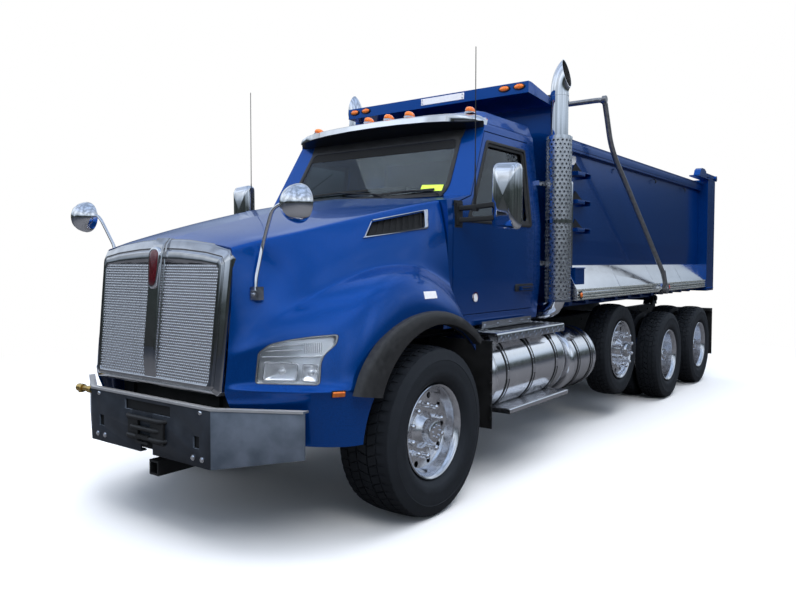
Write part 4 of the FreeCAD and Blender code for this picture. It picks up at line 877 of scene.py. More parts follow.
def make_wheels():
    """Tyres, rims and nuts of the eight wheels."""
    half_pitch = (width_of("tyres_drive1_left") - TWIN_TYRE_W) / 2
    wheel_mesh("tyre_steer", tyre_shape(STEER_R, width_of("tyre_front_left"), 54, 0.34), "tyre")
    wheel_mesh("tyre_lift", tyre_shape(LIFT_R, width_of("tyre_lift_left"), 52, 0.30), "tyre")
    twin = [shifted(tyre_shape(DRIVE_R, TWIN_TYRE_W, 50, 0.42), (s * half_pitch, 0, 0)) for s in (1, -1)]
    wheel_mesh("tyre_twin", joined(*twin), "tyre")
    wheel_mesh("rim_steer", rim_shape(0.336, 0.105, 0.175, 0.060), "aluminium")
    wheel_mesh("rim_lift", rim_shape(0.256, 0.040, 0.205, 0.060), "aluminium")
    outer = shifted(rim_shape(0.240, 0.271, 0.070, -0.040), (half_pitch, 0, 0))
    inner = shifted(inner_rim_shape(0.240, 0.1647), (-half_pitch, 0, 0))
    wheel_mesh("rim_twin", joined(outer, inner), "aluminium")
    wheel_mesh("nuts_steer", nut_shape(0.063, 0.058, 0.175), "chrome")
    wheel_mesh("nuts_lift", nut_shape(0.088, 0.105, 0.205), "chrome")
    wheel_mesh("nuts_twin", shifted(nut_shape(-0.151, 0.062, 0.070), (half_pitch, 0, 0)), "chrome")
    for hand, side in (("left", 1), ("right", -1)):
        for axle, kind, tyre, rim in (("front_", "steer", "tyre_", "rim_"),
                                      ("lift_", "lift", "tyre_", "rim_"),
                                      ("drive1_", "twin", "tyres_", "rims_"),
                                      ("drive2_", "twin", "tyres_", "rims_")):
            name = axle + hand
            centre = middle(tyre + name)
            body = "wheel_" + name
            place_wheel("tyre_" + name + "_shown", "tyre_" + kind, "tyre", centre, side, body, tyre + name)
            place_wheel("rim_" + name + "_shown", "rim_" + kind, "aluminium", centre, side, body, rim + name)
            place_wheel("nuts_" + name, "nuts_" + kind, "chrome", centre, side, body)


# Hood and fenders

HOOD_T = 0.012
HOOD_LEVELS = 3
HOOD_CREASES = {3: 0.45, 7: 0.30, 9: 0.15, 12: 0.5, 11: 0.3}      # by the number of the row
NOSE_Y, NOSE_Z, NOSE_LEAN = -1.1763, 0.885, 0.1


def nose_y(z):
    """Back of the grille surround, which leans back."""
    return NOSE_Y + NOSE_LEAN * (z - NOSE_Z)


def on_nose(x, z, ahead=0.056):
    """Point of the hood's front edge, which laps the surround's side."""
    return (x, nose_y(z) - ahead, z)


STATIONS = (-0.98, -0.80, -0.60, -0.40, -0.18, 0.04, 0.22, 0.372)
SHOULDER = ((0.61, 1.705), (0.67, 1.755), (0.745, 1.795), (0.79, 1.845), (0.835, 1.892), (0.875, 1.942),
            (0.91, 1.99), (0.945, 2.028), (0.97, 2.055))
CROWN_RISE = 0.055
VALLEY = (on_nose(0.641, 1.13), (0.735, -1.13, 1.18), (0.82, -1.03, 1.30), (0.90, -0.83, 1.43),
          (0.945, -0.55, 1.54), (0.985, -0.28, 1.605), (1.03, -0.02, 1.61), (1.055, 0.17, 1.56),
          (1.07, 0.372, 1.46))
BULGE = (on_nose(0.641, 1.10), (0.765, -1.12, 1.155), (0.88, -0.985, 1.275), (0.985, -0.79, 1.405),
         (1.045, -0.54, 1.52), (1.08, -0.28, 1.585), (1.10, -0.02, 1.58), (1.11, 0.17, 1.51),
         (1.125, 0.34, 1.40), (1.12, 0.50, 1.17))
CREST = (on_nose(0.640, 1.06), (0.785, -1.10, 1.125), (0.93, -0.96, 1.205), (1.09, -0.77, 1.275),
         (1.15, -0.53, 1.475), (1.16, -0.28, 1.53), (1.16, -0.03, 1.51), (1.165, 0.17, 1.43),
         (1.175, 0.34, 1.335), (1.17, 0.50, 1.12))
OUTER = (on_nose(0.638, 1.0), (0.775, -1.115, 1.03), (0.92, -0.99, 1.06), (1.105, -0.83, 1.09),
         (1.20, -0.59, 1.27), (1.212, -0.30, 1.39), (1.212, -0.03, 1.38), (1.212, 0.17, 1.31),
         (1.21, 0.34, 1.22), (1.20, 0.50, 1.06))
SILL = (on_nose(0.636, 0.96), (0.77, -1.125, 0.955), (0.92, -1.01, 0.95), (1.11, -0.86, 0.945),
        (1.205, -0.66, 1.0), (1.212, -0.30, 1.1), (1.212, -0.03, 1.1), (1.212, 0.17, 1.1), (1.21, 0.34, 1.05),
        (1.20, 0.50, 1.0))
LIP = (on_nose(0.634, 0.93), (0.78, -1.152, 0.925), (0.93, -1.045, 0.92), (1.13, -0.89, 0.915),
       (1.21, -0.70, 0.92), (1.212, -0.30, 0.92), (1.212, -0.03, 0.92), (1.212, 0.17, 0.92),
       (1.21, 0.34, 0.92), (1.20, 0.50, 0.92))
UNDER = (on_nose(0.634, 0.89), (0.77, -1.13, 0.88), (0.92, -1.02, 0.875), (1.11, -0.87, 0.87),
         (1.20, -0.70, 0.87), (1.212, -0.30, 0.85), (1.212, -0.03, 0.85), (1.212, 0.17, 0.85),
         (1.21, 0.34, 0.85), (1.20, 0.50, 0.85))
FOOT = ((0.66, -1.10, 0.63), (0.77, -1.07, 0.62), (0.92, -0.98, 0.61), (1.11, -0.84, 0.60),
        (1.195, -0.70, 0.60), (1.212, -0.30, 0.60), (1.212, -0.03, 0.60), (1.212, 0.17, 0.60),
        (1.21, 0.34, 0.60), (1.20, 0.50, 0.60))
ARCH_CENTRE = (0.0, 0.537)
ARCH_R = 0.700
LAMP_OUTLINE = ((0.764, 0.960), (1.046, 0.950), (1.036, 1.075), (1.044, 1.115), (1.080, 1.170),
                (1.078, 1.228), (0.976, 1.217), (0.885, 1.200), (0.815, 1.178), (0.768, 1.130))
VENT = ((-0.376, 1.771), (-0.262, 1.889), (0.245, 1.985), (0.199, 1.850))


def mixed(rows, share):
    """Line between two others, point by point."""
    return [tuple(p + (q - p) * share for p, q in zip(a, b)) for a, b in zip(*rows)]


def hood_rows():
    """Lines of the hood and fender from the middle of the crown to the fender's foot."""
    ys = (on_nose(0.0, SHOULDER[0][1])[1],) + STATIONS
    shoulder = [(x, y, z) for (x, z), y in zip(SHOULDER, ys)]
    crown = [(0.0, y, z + CROWN_RISE) for x, y, z in shoulder]
    crown[0] = (0.0, nose_y(crown[0][2]), crown[0][2])
    half_way = [(x * 0.5, y, z + CROWN_RISE * 0.72) for x, y, z in shoulder]
    near = [(x * 0.90, y, z + CROWN_RISE * 0.24) for x, y, z in shoulder]
    span = (shoulder, VALLEY)
    side = [(x + 0.012, y, z) for x, y, z in mixed(span, 0.14)]
    flank = [(x + 0.018, y, z) for x, y, z in mixed(span, 0.55)]
    low = mixed(span, 0.90)
    low[0] = on_nose(low[0][0], low[0][2])
    flank[0] = on_nose(0.640, flank[0][2])
    side[0] = on_nose(0.632, side[0][2])
    return [crown, half_way, near, shoulder, side, flank, low, VALLEY, BULGE, CREST, OUTER, SILL, LIP, UNDER,
            FOOT]


def sheet_mesh(rows, creases):
    """Grid of faces through rows of points; a longer row goes on past a shorter one."""
    bm = bmesh.new()
    crease = bm.edges.layers.float.new("crease_edge")
    grid = [[bm.verts.new(at(*p)) for p in row] for row in rows]
    for a, b in zip(grid, grid[1:]):
        for i in range(min(len(a), len(b)) - 1):
            bm.faces.new((a[i], b[i], b[i + 1], a[i + 1]))
    for index, weight in creases.items():
        for ends in zip(grid[index], grid[index][1:]):
            edge = bm.edges.get(ends)
            if edge:
                edge[crease] = weight
    return bm


def make_hood():
    """Smooth sheet of even thickness with its openings; returns it and its surface before they were cut."""
    left = piece("hood_left", sheet_mesh(hood_rows(), HOOD_CREASES), "blue_paint", "hood")
    sub = left.modifiers.new("round", "SUBSURF")
    sub.levels = sub.render_levels = HOOD_LEVELS
    sub.boundary_smooth = "PRESERVE_CORNERS"
    wall = left.modifiers.new("wall", "SOLIDIFY")
    wall.thickness = HOOD_T
    wall.offset = -1
    wall.use_quality_normals = True
    settle(left)
    whole_tree = evaluated_tree(left)
    cut(left, bar((0.45, *ARCH_CENTRE), (1.35, *ARCH_CENTRE), ARCH_R - 0.004, 96))
    cut(left, lengthways(softened(LAMP_OUTLINE, 0.02), -1.4, -0.60))
    cut(left, across(softened(inset(VENT, 0.010), 0.012), 0.80, 1.15))
    smooth_by_angle(left)
    mirrored_copy(left, "hood_right")
    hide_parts("hood_shell", "fenders")
    return left, whole_tree


# Grille, headlamps, flares, bumper and hood mirrors

GRILLE_OUTER = ((0.0, 0.880), (0.30, 0.880), (0.592, 0.880), (0.616, 0.904), (0.6245, 1.27), (0.632, 1.640),
                (0.602, 1.694), (0.45, 1.727), (0.225, 1.752), (0.0, 1.762))
GRILLE_INNER = ((0.0, 0.945), (0.26, 0.945), (0.514, 0.945), (0.529, 0.960), (0.537, 1.28), (0.545, 1.568),
                (0.528, 1.588), (0.40, 1.600), (0.20, 1.611), (0.0, 1.616))
# Share of the way from the outer to the inner outline, place before the surround's back
GRILLE_STEPS = ((0.0, 0.0), (0.0, -0.052), (0.05, -0.066), (0.14, -0.073), (0.40, -0.087), (0.46, -0.083),
                (0.50, -0.088), (0.58, -0.095), (0.80, -0.097), (0.88, -0.094), (0.94, -0.086), (1.0, -0.084),
                (1.0, -0.060))
BAR_SECTION = ((0.064, -0.050), (0.064, -0.092), (0.058, -0.096), (0.058, -0.110), (0.050, -0.117),
               (-0.050, -0.117), (-0.058, -0.110), (-0.058, -0.096), (-0.064, -0.092), (-0.064, -0.050))
# Height on the centre bar, share of its full depth there
BAR_ROWS = ((0.910, 0.72), (0.945, 0.83), (1.040, 0.97), (1.120, 1.0), (1.660, 1.0), (1.720, 0.93),
            (1.764, 0.66))
MESH_Y = -0.090
MESH_FOOT = 0.935
CELL_W, CELL_H = 0.0183, 0.0160
CELL_ROWS = 42
# Border of a cell in shares of its size, from the corner that the hole's first point faces
CELL_BORDER = ((0, 0), (0.5, 0), (1, 0), (1, 0.5), (1, 1), (0.5, 1), (0, 1), (0, 0.5))
HOLE_ANGLES = [math.radians(225 + 45 * k) for k in range(8)]
EMBLEM = ((-0.036, 1.455), (0.036, 1.455), (0.050, 1.58), (0.055, 1.705), (-0.055, 1.705), (-0.050, 1.58))
EMBLEM_CENTRE = (0.0, 1.58)
EMBLEM_RIM = ((1.0, -0.112), (1.0, -0.124), (0.93, -0.130), (0.86, -0.130))
EMBLEM_FACE = ((0.87, -0.127), (0.80, -0.131), (0.5, -0.134), (0.02, -0.135))


def leant(x, y, z):
    """Point of the upright nose turned back with its lean; y counts from the surround's back."""
    return at(x, NOSE_Y + y + NOSE_LEAN * (z - NOSE_Z), z - NOSE_LEAN * y)


def both_sides(half):
    """Closed outline from the points of its left half, foot to top, which start and end in the middle."""
    return [(-x, z) for x, z in reversed(half[1:-1])] + list(half)


def capped(loops):
    """Solid through loops, with a face over each end."""
    bm = ring_mesh(loops, False)
    bm.verts.ensure_lookup_table()
    count = len(loops[0])
    for start in (0, len(bm.verts) - count):
        bm.faces.new([bm.verts[start + i] for i in range(count)])
    return outwards(bm)


def shrinking(outline, centre, steps, place):
    """Tube whose loops shrink to a centre, at (share of size, depth) steps that place() turns into points."""
    loops = []
    for share, depth in steps:
        loops.append([place(centre[0] + (a - centre[0]) * share, centre[1] + (b - centre[1]) * share, depth)
                      for a, b in outline])
    return ring_mesh(loops, False)


def pierced(bm, border, lip):
    """Faces from a cell's border to a hole and into it; lip gives the hole's two points at an angle."""
    rim = [[bm.verts.new(p) for p in lip(angle)] for angle in HOLE_ANGLES]
    for k, (edge, inside) in enumerate(rim):
        n = (k + 1) % len(rim)
        bm.faces.new((border[k], border[n], rim[n][0], edge))
        bm.faces.new((edge, rim[n][0], rim[n][1], inside))


def make_grille():
    """Surround with its centre bar, the dark lining and the mesh before it."""
    outlines = (both_sides(GRILLE_OUTER), both_sides(GRILLE_INNER))
    ring = ring_mesh([[leant(x, y, z) for x, z in mixed(outlines, share)] for share, y in GRILLE_STEPS])
    centre_bar = capped([[leant(x, y * depth, z) for x, y in BAR_SECTION] for z, depth in BAR_ROWS])
    piece("grille_surround_dressed", joined(ring, centre_bar), "grille_chrome", "hood",
          replaces="grille_surround", bevel=0.0035, segments=3)
    lining = bmesh.new()
    for sign in (1, -1):
        corners = [(sign * 0.060, 0.935), (sign * 0.540, 0.935), (sign * 0.556, 1.60), (sign * 0.060, 1.625)]
        lining.faces.new([lining.verts.new(leant(x, -0.068, z)) for x, z in corners])
        lining.faces.new([lining.verts.new(leant(x, -0.065, z)) for x, z in reversed(corners)])
    piece("grille_lining", lining, "dark_mesh", "hood", smooth=False)
    piece("grille_mesh_dressed", joined(grille_cells(1), grille_cells(-1)), "chrome", "hood",
          replaces="grille_mesh")


def grille_cells(sign):
    """Pressed mesh of one opening: staggered holes whose lower lips stand proud."""
    bm = bmesh.new()
    known = {}

    def corner(x, z):
        key = (round(x, 4), round(z, 4))
        if key not in known:
            known[key] = bm.verts.new(leant(sign * x, MESH_Y, z))
        return known[key]

    def lip(angle):
        lift = 0.0045 * max(0.0, -math.sin(angle))
        out, high = 0.0066 * math.cos(angle), 0.0052 * math.sin(angle)
        return (leant(sign * (mid_x + out), MESH_Y - lift, mid_z + high),
                leant(sign * (mid_x + out * 0.94), MESH_Y + 0.004, mid_z + high * 0.9))

    for row in range(CELL_ROWS):
        z = MESH_FOOT + CELL_H * row
        for column in range(-1, 29):
            x = 0.058 + CELL_W * (column + 0.5 * (row % 2))
            if x < 0.048 or x + CELL_W > 0.562:
                continue
            mid_x, mid_z = x + CELL_W / 2, z + CELL_H * 0.54
            pierced(bm, [corner(x + CELL_W * a, z + CELL_H * b) for a, b in CELL_BORDER], lip)
    return outwards(bm)


def make_emblem():
    """Plain red capsule on the centre bar."""
    outline = softened(EMBLEM, 0.05, 7)
    rim, face = (shrinking(outline, EMBLEM_CENTRE, steps, lambda x, z, y: leant(x, y, z))
                 for steps in (EMBLEM_RIM, EMBLEM_FACE))
    piece("emblem_rim", rim, "chrome", "hood")
    piece("emblem", face, "emblem_red", "hood")


LAMP_CENTRE = (0.91, 1.075)
LAMP_CHAMBERS = (((0.792, 0.976), (0.948, 0.972), (0.944, 1.070), (0.795, 1.082)),
                 ((0.962, 0.972), (1.034, 0.966), (1.024, 1.066), (0.957, 1.070)))
LAMP_AXIS = (0.45, -0.89, 0.03)
BULB = ((AXIS_R, -0.004), (0.011, -0.007), (0.018, -0.015), (0.018, -0.036), (AXIS_R, -0.036))
LAMP_SHARES = (1.0, 0.94, 0.85, 0.74, 0.62, 0.5, 0.38, 0.26, 0.14, 0.02)
# (Share of size, depth under the hood's skin) steps
LAMP_RIM = ((1.0, -0.001), (0.965, -0.001), (0.955, 0.006), (0.95, 0.045), (0.99, 0.050), (1.0, 0.030),
            (1.0, -0.001))
CHAMBER_BOWL = ((1.0, 0.042), (1.0, 0.012), (0.96, 0.010), (0.92, 0.014), (0.84, 0.030), (0.62, 0.038),
                (0.3, 0.041), (0.02, 0.041))
CHAMBER_EDGE = ((0.955, 0.0095), (0.93, 0.0095), (0.92, 0.016), (0.955, 0.016))
# Height, rise per metre outwards, first and last x of the lines of the upper strip
LAMP_LINES = ((1.104, 0.02, 0.785, 1.030), (1.135, 0.06, 0.800, 0.950), (1.160, 0.10, 0.815, 0.950))


def make_lamps(hood_tree):
    """Clear lens flush with the fender over a bright bucket with two chambers and a ribbed upper strip."""
    def sunk(x, z, depth):
        """Point under the hood's skin, straight behind (x, z)."""
        place, normal = cast(hood_tree, at(x, -2.0, z), REARWARD)
        return place - normal * depth

    def lamp_piece(name, bm, material, **options):
        both_pieces("lamp_" + name, bm, material, "hood", 30, **options)

    outline = softened(inset(LAMP_OUTLINE, 0.002), 0.018, 4)
    lens_steps = [(s, 0.001) for s in LAMP_SHARES] + [(s, 0.004) for s in reversed(LAMP_SHARES)]
    back_steps = [(0.96, 0.036)] + [(s, 0.044) for s in LAMP_SHARES[1:]]
    lamp_piece("lens", shrinking(outline, LAMP_CENTRE, lens_steps, sunk), "lamp_glass", replaces="headlamps")
    lamp_piece("rim", shrinking(outline, LAMP_CENTRE, LAMP_RIM, sunk), "lamp_trim")
    lamp_piece("bucket", shrinking(outline, LAMP_CENTRE, back_steps, sunk), "lamp_silver")
    bright, dark = [], []
    for corners in LAMP_CHAMBERS:
        edge = softened(corners, 0.014, 4)
        centre = (sum(x for x, _ in corners) / 4, sum(z for _, z in corners) / 4)
        bright.append(shrinking(edge, centre, CHAMBER_BOWL, sunk))
        dark.append(shrinking(edge, centre, CHAMBER_EDGE, sunk))
        where = Matrix.Translation(sunk(*centre, 0.010)) @ facing(LAMP_AXIS)
        bright.append(moved(turned(BULB, 20), where))
    for i in range(9):
        x = 0.960 + 0.0085 * i
        centre = sunk(x, 1.150 + 0.02 * (x - 0.96), 0.024)
        bright.append(drum(centre - UP * 0.024, centre + UP * 0.032, 0.0035, 8))
    for z, lean, first, last in LAMP_LINES:
        line = [sunk(x, z + lean * (x - first), 0.020)
                for x in (first + (last - first) * i / 4 for i in range(5))]
        bright.append(swept(line, [(-0.014, -0.002), (0.014, -0.002), (0.014, 0.003), (-0.014, 0.003)]))
    lamp_piece("optics", joined(*bright), "lamp_silver")
    lamp_piece("shade", joined(*dark), "lamp_trim")


FLARE_OUTER = ((-0.803, 0.893), (-0.744, 1.023), (-0.638, 1.136), (-0.494, 1.231), (-0.324, 1.296),
               (-0.104, 1.326), (0.093, 1.314), (0.283, 1.258), (0.441, 1.171), (0.505, 1.112))
FLARE_INNER = ((-0.600, 0.857), (-0.557, 0.948), (-0.466, 1.059), (-0.345, 1.150), (-0.200, 1.208),
               (-0.040, 1.236), (0.110, 1.227), (0.260, 1.188), (0.395, 1.119), (0.472, 1.063))
# Share of the way from the outer to the inner line, x
FLARE_SECTION = ((1.0, 1.165), (1.0, 1.232), (0.96, 1.248), (0.86, 1.253), (0.5, 1.252), (0.14, 1.247),
                 (0.04, 1.238), (0.0, 1.224), (0.0, 1.190), (0.5, 1.190), (0.93, 1.168))


def make_flares():
    """Soft dark lip round the wheel arch, broad at its front foot."""
    outer, inner = (rounded_path([(0, y, z) for y, z in line], 0.2, 4) for line in (FLARE_OUTER, FLARE_INNER))
    loops = []
    for a, b in zip(outer, inner):
        loops.append([at(x, *a.lerp(b, share)[1:]) for share, x in FLARE_SECTION])
    both_pieces("flare", capped(loops), "black_plastic", "hood", 40, replaces="flares")


BUMPER_PLAN = ((0.0, -1.2945), (0.30, -1.2945), (0.592, -1.2945), (0.80, -1.180), (1.049, -1.043))
BOLT_Y = -1.2935        # on the bumper's face


def make_bumper():
    """Plate bumper with painted highlight on its top faces and along its top edge, its windows, bolts, tow
    jaw and air coupling.
    """
    bm = cad_shape("bumper")
    for face in bm.faces:
        centre = face.calc_center_median()
        face.material_index = 0 if abs(centre.x) > 0.60 else 1
        # Faces that look upwards get the pale finish: painted highlight.
        if face.normal.z > 0.8 and centre.z > 0.8:
            face.material_index = 2
    bumper = piece("bumper_dressed", bm, ["bumper_grey", "bumper_dark", "bumper_edge"], "chassis",
                   replaces="bumper", smooth=False)
    cut(bumper, slab((-0.220, -1.4, 0.732), (0.232, -1.25, 0.794)))
    for x in (0.44, -0.505):
        cut(bumper, slab((x, -1.4, 0.59), (x + 0.053, -1.25, 0.659)))
    bevelled(bumper, 0.003, 2, 20)
    bumper.data.shade_smooth()
    piece("nose_shroud", slab((-0.57, -1.075, 0.60), (0.57, -1.060, 0.862)), "chassis_black", "chassis",
          bevel=0.003)
    piece("bumper_backing", slab((-0.56, -1.276, 0.52), (0.56, -1.272, 0.81)), "dark_mesh", "chassis",
          smooth=False)
    piece("bumper_filler", slab((-0.152, -1.2925, 0.688), (0.062, -1.281, 0.731)), "bumper_dark", "chassis",
          smooth=False)
    # Pale strip along the top front edge: painted highlight.
    highlight_line = swept([at(x, y, 0.822) for x, y in BUMPER_PLAN],
                   [(-0.003, -0.008), (0.003, -0.008), (0.003, 0.008), (-0.003, 0.008)])
    piece("bumper_highlight_strip", pair(highlight_line), "bumper_edge", "chassis", bevel=0.002)
    heads = [bolt(at(x, BOLT_Y, 0.535), AHEAD, 0.013) for x in (0.44, 0.52, -0.44, -0.52)]
    heads += [dome(at(x, BOLT_Y, 0.794), AHEAD, 0.014, 0.008) for x in (0.504, -0.504)]
    piece("bumper_bolts", joined(*heads), "chrome", "chassis", smooth=False)
    guard = []
    for z, half in ((0.700, 0.19), (0.640, 0.15), (0.585, 0.19)):
        guard.append(tube([at(-half, -1.275, z), at(-half + 0.03, -1.315, z), at(half - 0.02, -1.315, z),
                           at(half + 0.01, -1.275, z)], 0.014))
    guard.append(slab((-0.165, -1.312, 0.560), (-0.062, -1.292, 0.705)))
    guard.append(slab((0.062, -1.312, 0.560), (0.185, -1.292, 0.705)))
    piece("jaw_guard", joined(*guard), "chassis_black", "chassis", bevel=0.004)
    place = at(-0.700, -1.274, 0.800)
    brass = [drum(place + LEFTWARD * start, place + LEFTWARD * end, radius, sides) for start, end, radius,
             sides in ((-0.075, -0.02, 0.026, 18), (-0.02, 0.045, 0.019, 6), (0.045, 0.085, 0.023, 18))]
    brass.append(drum(place + Vector((-0.05, 0, -0.03)), place + Vector((-0.05, 0, 0.012)), 0.017, 14))
    piece("air_coupling", joined(*brass), "brass", "chassis", bevel=0.002)
    line = [(0.085, 0, 0), (0.14, -0.006, -0.004), (0.19, 0.02, -0.02), (0.20, 0.055, -0.05)]
    piece("air_stub", tube([place + Vector(p) for p in line], 0.011, 0.04), "blue_paint", "chassis")


MIRROR_DOME = ((POINT_R, -0.096), (0.028, -0.093), (0.055, -0.083), (0.078, -0.066), (0.094, -0.042),
               (0.103, -0.014), (0.106, 0.004), (0.104, 0.014), (0.098, 0.018), (0.094, 0.012),
               (POINT_R, 0.016))
MIRROR_STEM = ((0.738, -1.092, 1.470), (0.734, -1.085, 1.540), (0.729, -1.050, 1.650), (0.728, -1.030, 1.721),
               (0.785, -1.046, 1.820), (0.843, -1.062, 1.917), (0.905, -1.052, 1.946), (1.010, -1.045, 1.942))


def make_hood_mirrors():
    """Chrome domes that face forwards on bent stems from a bracket on each side of the hood."""
    turn = Matrix.Rotation(math.radians(-6), 4, "Z") @ Matrix.Rotation(QUARTER, 4, "Z")
    head = moved(turned(MIRROR_DOME, 48), Matrix.Translation(at(1.0335, -1.0566, 1.938)) @ turn)
    stem = tube([at(*p) for p in MIRROR_STEM], 0.0105, 0.04, 14)
    both_pieces("hood_mirror", joined(head, stem), "chrome", "hood", 40, replaces="hood_mirrors")
    foot = joined(slab((0.700, -1.098, 1.418), (0.765, -1.058, 1.492)),
                  slab((0.708, -1.106, 1.426), (0.757, -1.094, 1.470)),
                  bolt(at(0.733, -1.108, 1.448), AHEAD, 0.008))
    both_pieces("hood_mirror_foot", foot, "aluminium", "hood", bevel=0.005, segments=3)


def make_vent(hood_tree):
    """Chrome frame with a broad rear upright round a dark meshed vent."""
    outline = softened(VENT, 0.014, 4)
    inner = softened([(y - 0.035, z) if y > 0.1 else (y, z) for y, z in inset(VENT, 0.011)], 0.012, 4)
    loops = []
    for share, lift in ((0.0, -0.002), (0.0, 0.008), (0.16, 0.013), (0.70, 0.013), (0.95, 0.007),
                        (1.0, -0.012)):
        loop = []
        for (ya, za), (yb, zb) in zip(outline, inner):
            y, z = ya + (yb - ya) * share, za + (zb - za) * share
            place, normal = on_side(hood_tree, ya + (ya + 0.05) * 0.03, za + (za - 1.87) * 0.06)
            loop.append(Vector((place.x, frame_y(y), z)) + normal * lift)
        loops.append(loop)
    both_pieces("vent", ring_mesh(loops, False), "chrome", "hood", 35)
    back = bmesh.new()
    back.faces.new([back.verts.new(p - Vector((0.004, 0, 0))) for p in loops[-1]])
    slats = [back]
    for i in range(9):
        share = (i + 0.5) / 9
        a, _ = on_side(hood_tree, -0.40 + 0.6 * share, 1.745 + 0.08 * share)
        b, _ = on_side(hood_tree, -0.28 + 0.54 * share, 1.905 + 0.09 * share)
        slats.append(drum((a.x - 0.008, frame_y(-0.350 + 0.50 * share), 1.778 + 0.072 * share),
                          (b.x - 0.008, frame_y(-0.245 + 0.44 * share), 1.884 + 0.090 * share), 0.0035, 6))
    both_pieces("vent_back", joined(*slats), "dark_mesh", "hood", smooth=False)


def on_skin(hit):
    """Matrix that lays a flat piece, its Z outwards, on a place of the hood."""
    place, normal = hit
    along = normal.cross(UP).normalized()
    up = along.cross(normal).normalized()
    return Matrix.Translation(place) @ Matrix((along, up, normal)).transposed().to_4x4()


def make_fender_fittings(hood_tree):
    """Side marker lamp on each fender and a bare label on the left one."""
    label = block((-0.072, -0.024, -0.002), (0.072, 0.024, 0.0025))
    piece("fender_label", moved(label, on_skin(on_side(hood_tree, -0.045, 1.421))), "white", "hood",
          bevel=0.001)
    where = on_skin(cast(hood_tree, at(2.0, -1.72, 0.905), Vector((-0.70, 0.70, 0)).normalized()))
    lens_box = block((-0.036, -0.016, 0.0), (0.036, 0.016, 0.014))
    base = block((-0.040, -0.020, -0.004), (0.040, 0.020, 0.004))
    both_pieces("marker", moved(lens_box, where), "amber", "hood", bevel=0.006, segments=3)
    both_pieces("marker_base", moved(base, where), "chassis_black", "hood", bevel=0.002)


def make_front(hood_left, whole_tree):
    """Everything on the hood, the nose and the bumper."""
    hood_tree = evaluated_tree(hood_left)
    make_grille()
    make_emblem()
    make_lamps(whole_tree)
    make_flares()
    make_bumper()
    make_hood_mirrors()
    make_vent(hood_tree)
    make_fender_fittings(hood_tree)


# Cab, doors, mirrors and roof

WINDOW = ((0.650, 1.930), (0.780, 2.115), (1.030, 2.545), (1.640, 2.545), (1.640, 1.930))
SCREEN = ((-0.770, 2.135), (0.770, 2.135), (0.800, 2.200), (0.765, 2.590), (-0.765, 2.590), (-0.800, 2.200))
HANDLE = ((1.385, 1.392), (1.700, 1.392), (1.700, 1.452), (1.385, 1.452))
GRIP = ((1.040, 1.445, 1.420), (1.062, 1.465, 1.421), (1.066, 1.54, 1.422), (1.062, 1.615, 1.421),
        (1.040, 1.635, 1.420))
DISC_PLACE = (1.031, 0.775, 1.372)
MIRROR = ((1.246, 1.862), (1.450, 1.850), (1.455, 2.310), (1.250, 2.322))
MIRROR_CENTRE = (1.350, 2.086)
MIRROR_SHELL = ((0.90, 0.694), (0.97, 0.690), (1.0, 0.676), (1.0, 0.650), (0.97, 0.624), (0.88, 0.607),
                (0.70, 0.596), (0.40, 0.590), (0.02, 0.588))
MIRROR_GLASS = ((0.90, 0.694), (0.88, 0.686), (0.02, 0.686))
ARM_SECTION = ((-0.020, -0.013), (-0.015, -0.018), (0.015, -0.018), (0.020, -0.013), (0.020, 0.013),
               (0.015, 0.018), (-0.015, 0.018), (-0.020, 0.013))
# X, front edge's y and z, its height, back edge's y and z
VISOR_STATIONS = ((0.000, 0.845, 2.722, 0.052, 1.135, 2.832), (0.250, 0.847, 2.720, 0.052, 1.135, 2.830),
                  (0.500, 0.855, 2.712, 0.054, 1.132, 2.822), (0.680, 0.872, 2.702, 0.058, 1.125, 2.808),
                  (0.800, 0.895, 2.692, 0.058, 1.115, 2.792), (0.880, 0.928, 2.690, 0.048, 1.100, 2.768),
                  (0.930, 0.962, 2.692, 0.034, 1.085, 2.742), (0.958, 0.992, 2.696, 0.016, 1.065, 2.718))
LENS_STEPS = ((1.0, -0.3), (1.0, 0.15), (0.95, 0.42), (0.82, 0.68), (0.60, 0.87), (0.30, 0.97), (0.01, 1.0))
# Pivot, then both ends of the blade
WIPERS = (((0.245, 2.118), (-0.600, 2.180), (0.040, 2.200)), ((0.780, 2.118), (0.120, 2.150), (0.700, 2.170)))
BLADE = ((-0.005, -0.008), (0.005, -0.008), (0.003, 0.008), (-0.003, 0.008))


def cab_side_x(z):
    """Outer face of the cab's side at a height."""
    if z > 1.95:
        return 1.04 - 0.08 * (z - 1.95) / 0.72
    if z < 1.5:
        return 1.005 + 0.035 * (z - 1.16) / 0.34
    return 1.04


def on_door(y, z, lift):
    """Point of the door's face, lifted off it."""
    return at(cab_side_x(z) + lift, y, z)


def on_screen(x, z, lift):
    """Point of the windscreen's face, lifted off it."""
    return at(x, 0.700 + 0.310 * (z - 2.115) / 0.545 - lift * 0.87, z + lift * 0.49)


def seal_ring(outline, place, widths, radius=0.03):
    """Rubber seal along an outline: (inset, height over the surface) steps."""
    return ring_mesh([[place(a, b, lift) for a, b in softened(inset(outline, distance), radius, 4)]
                      for distance, lift in widths], False)


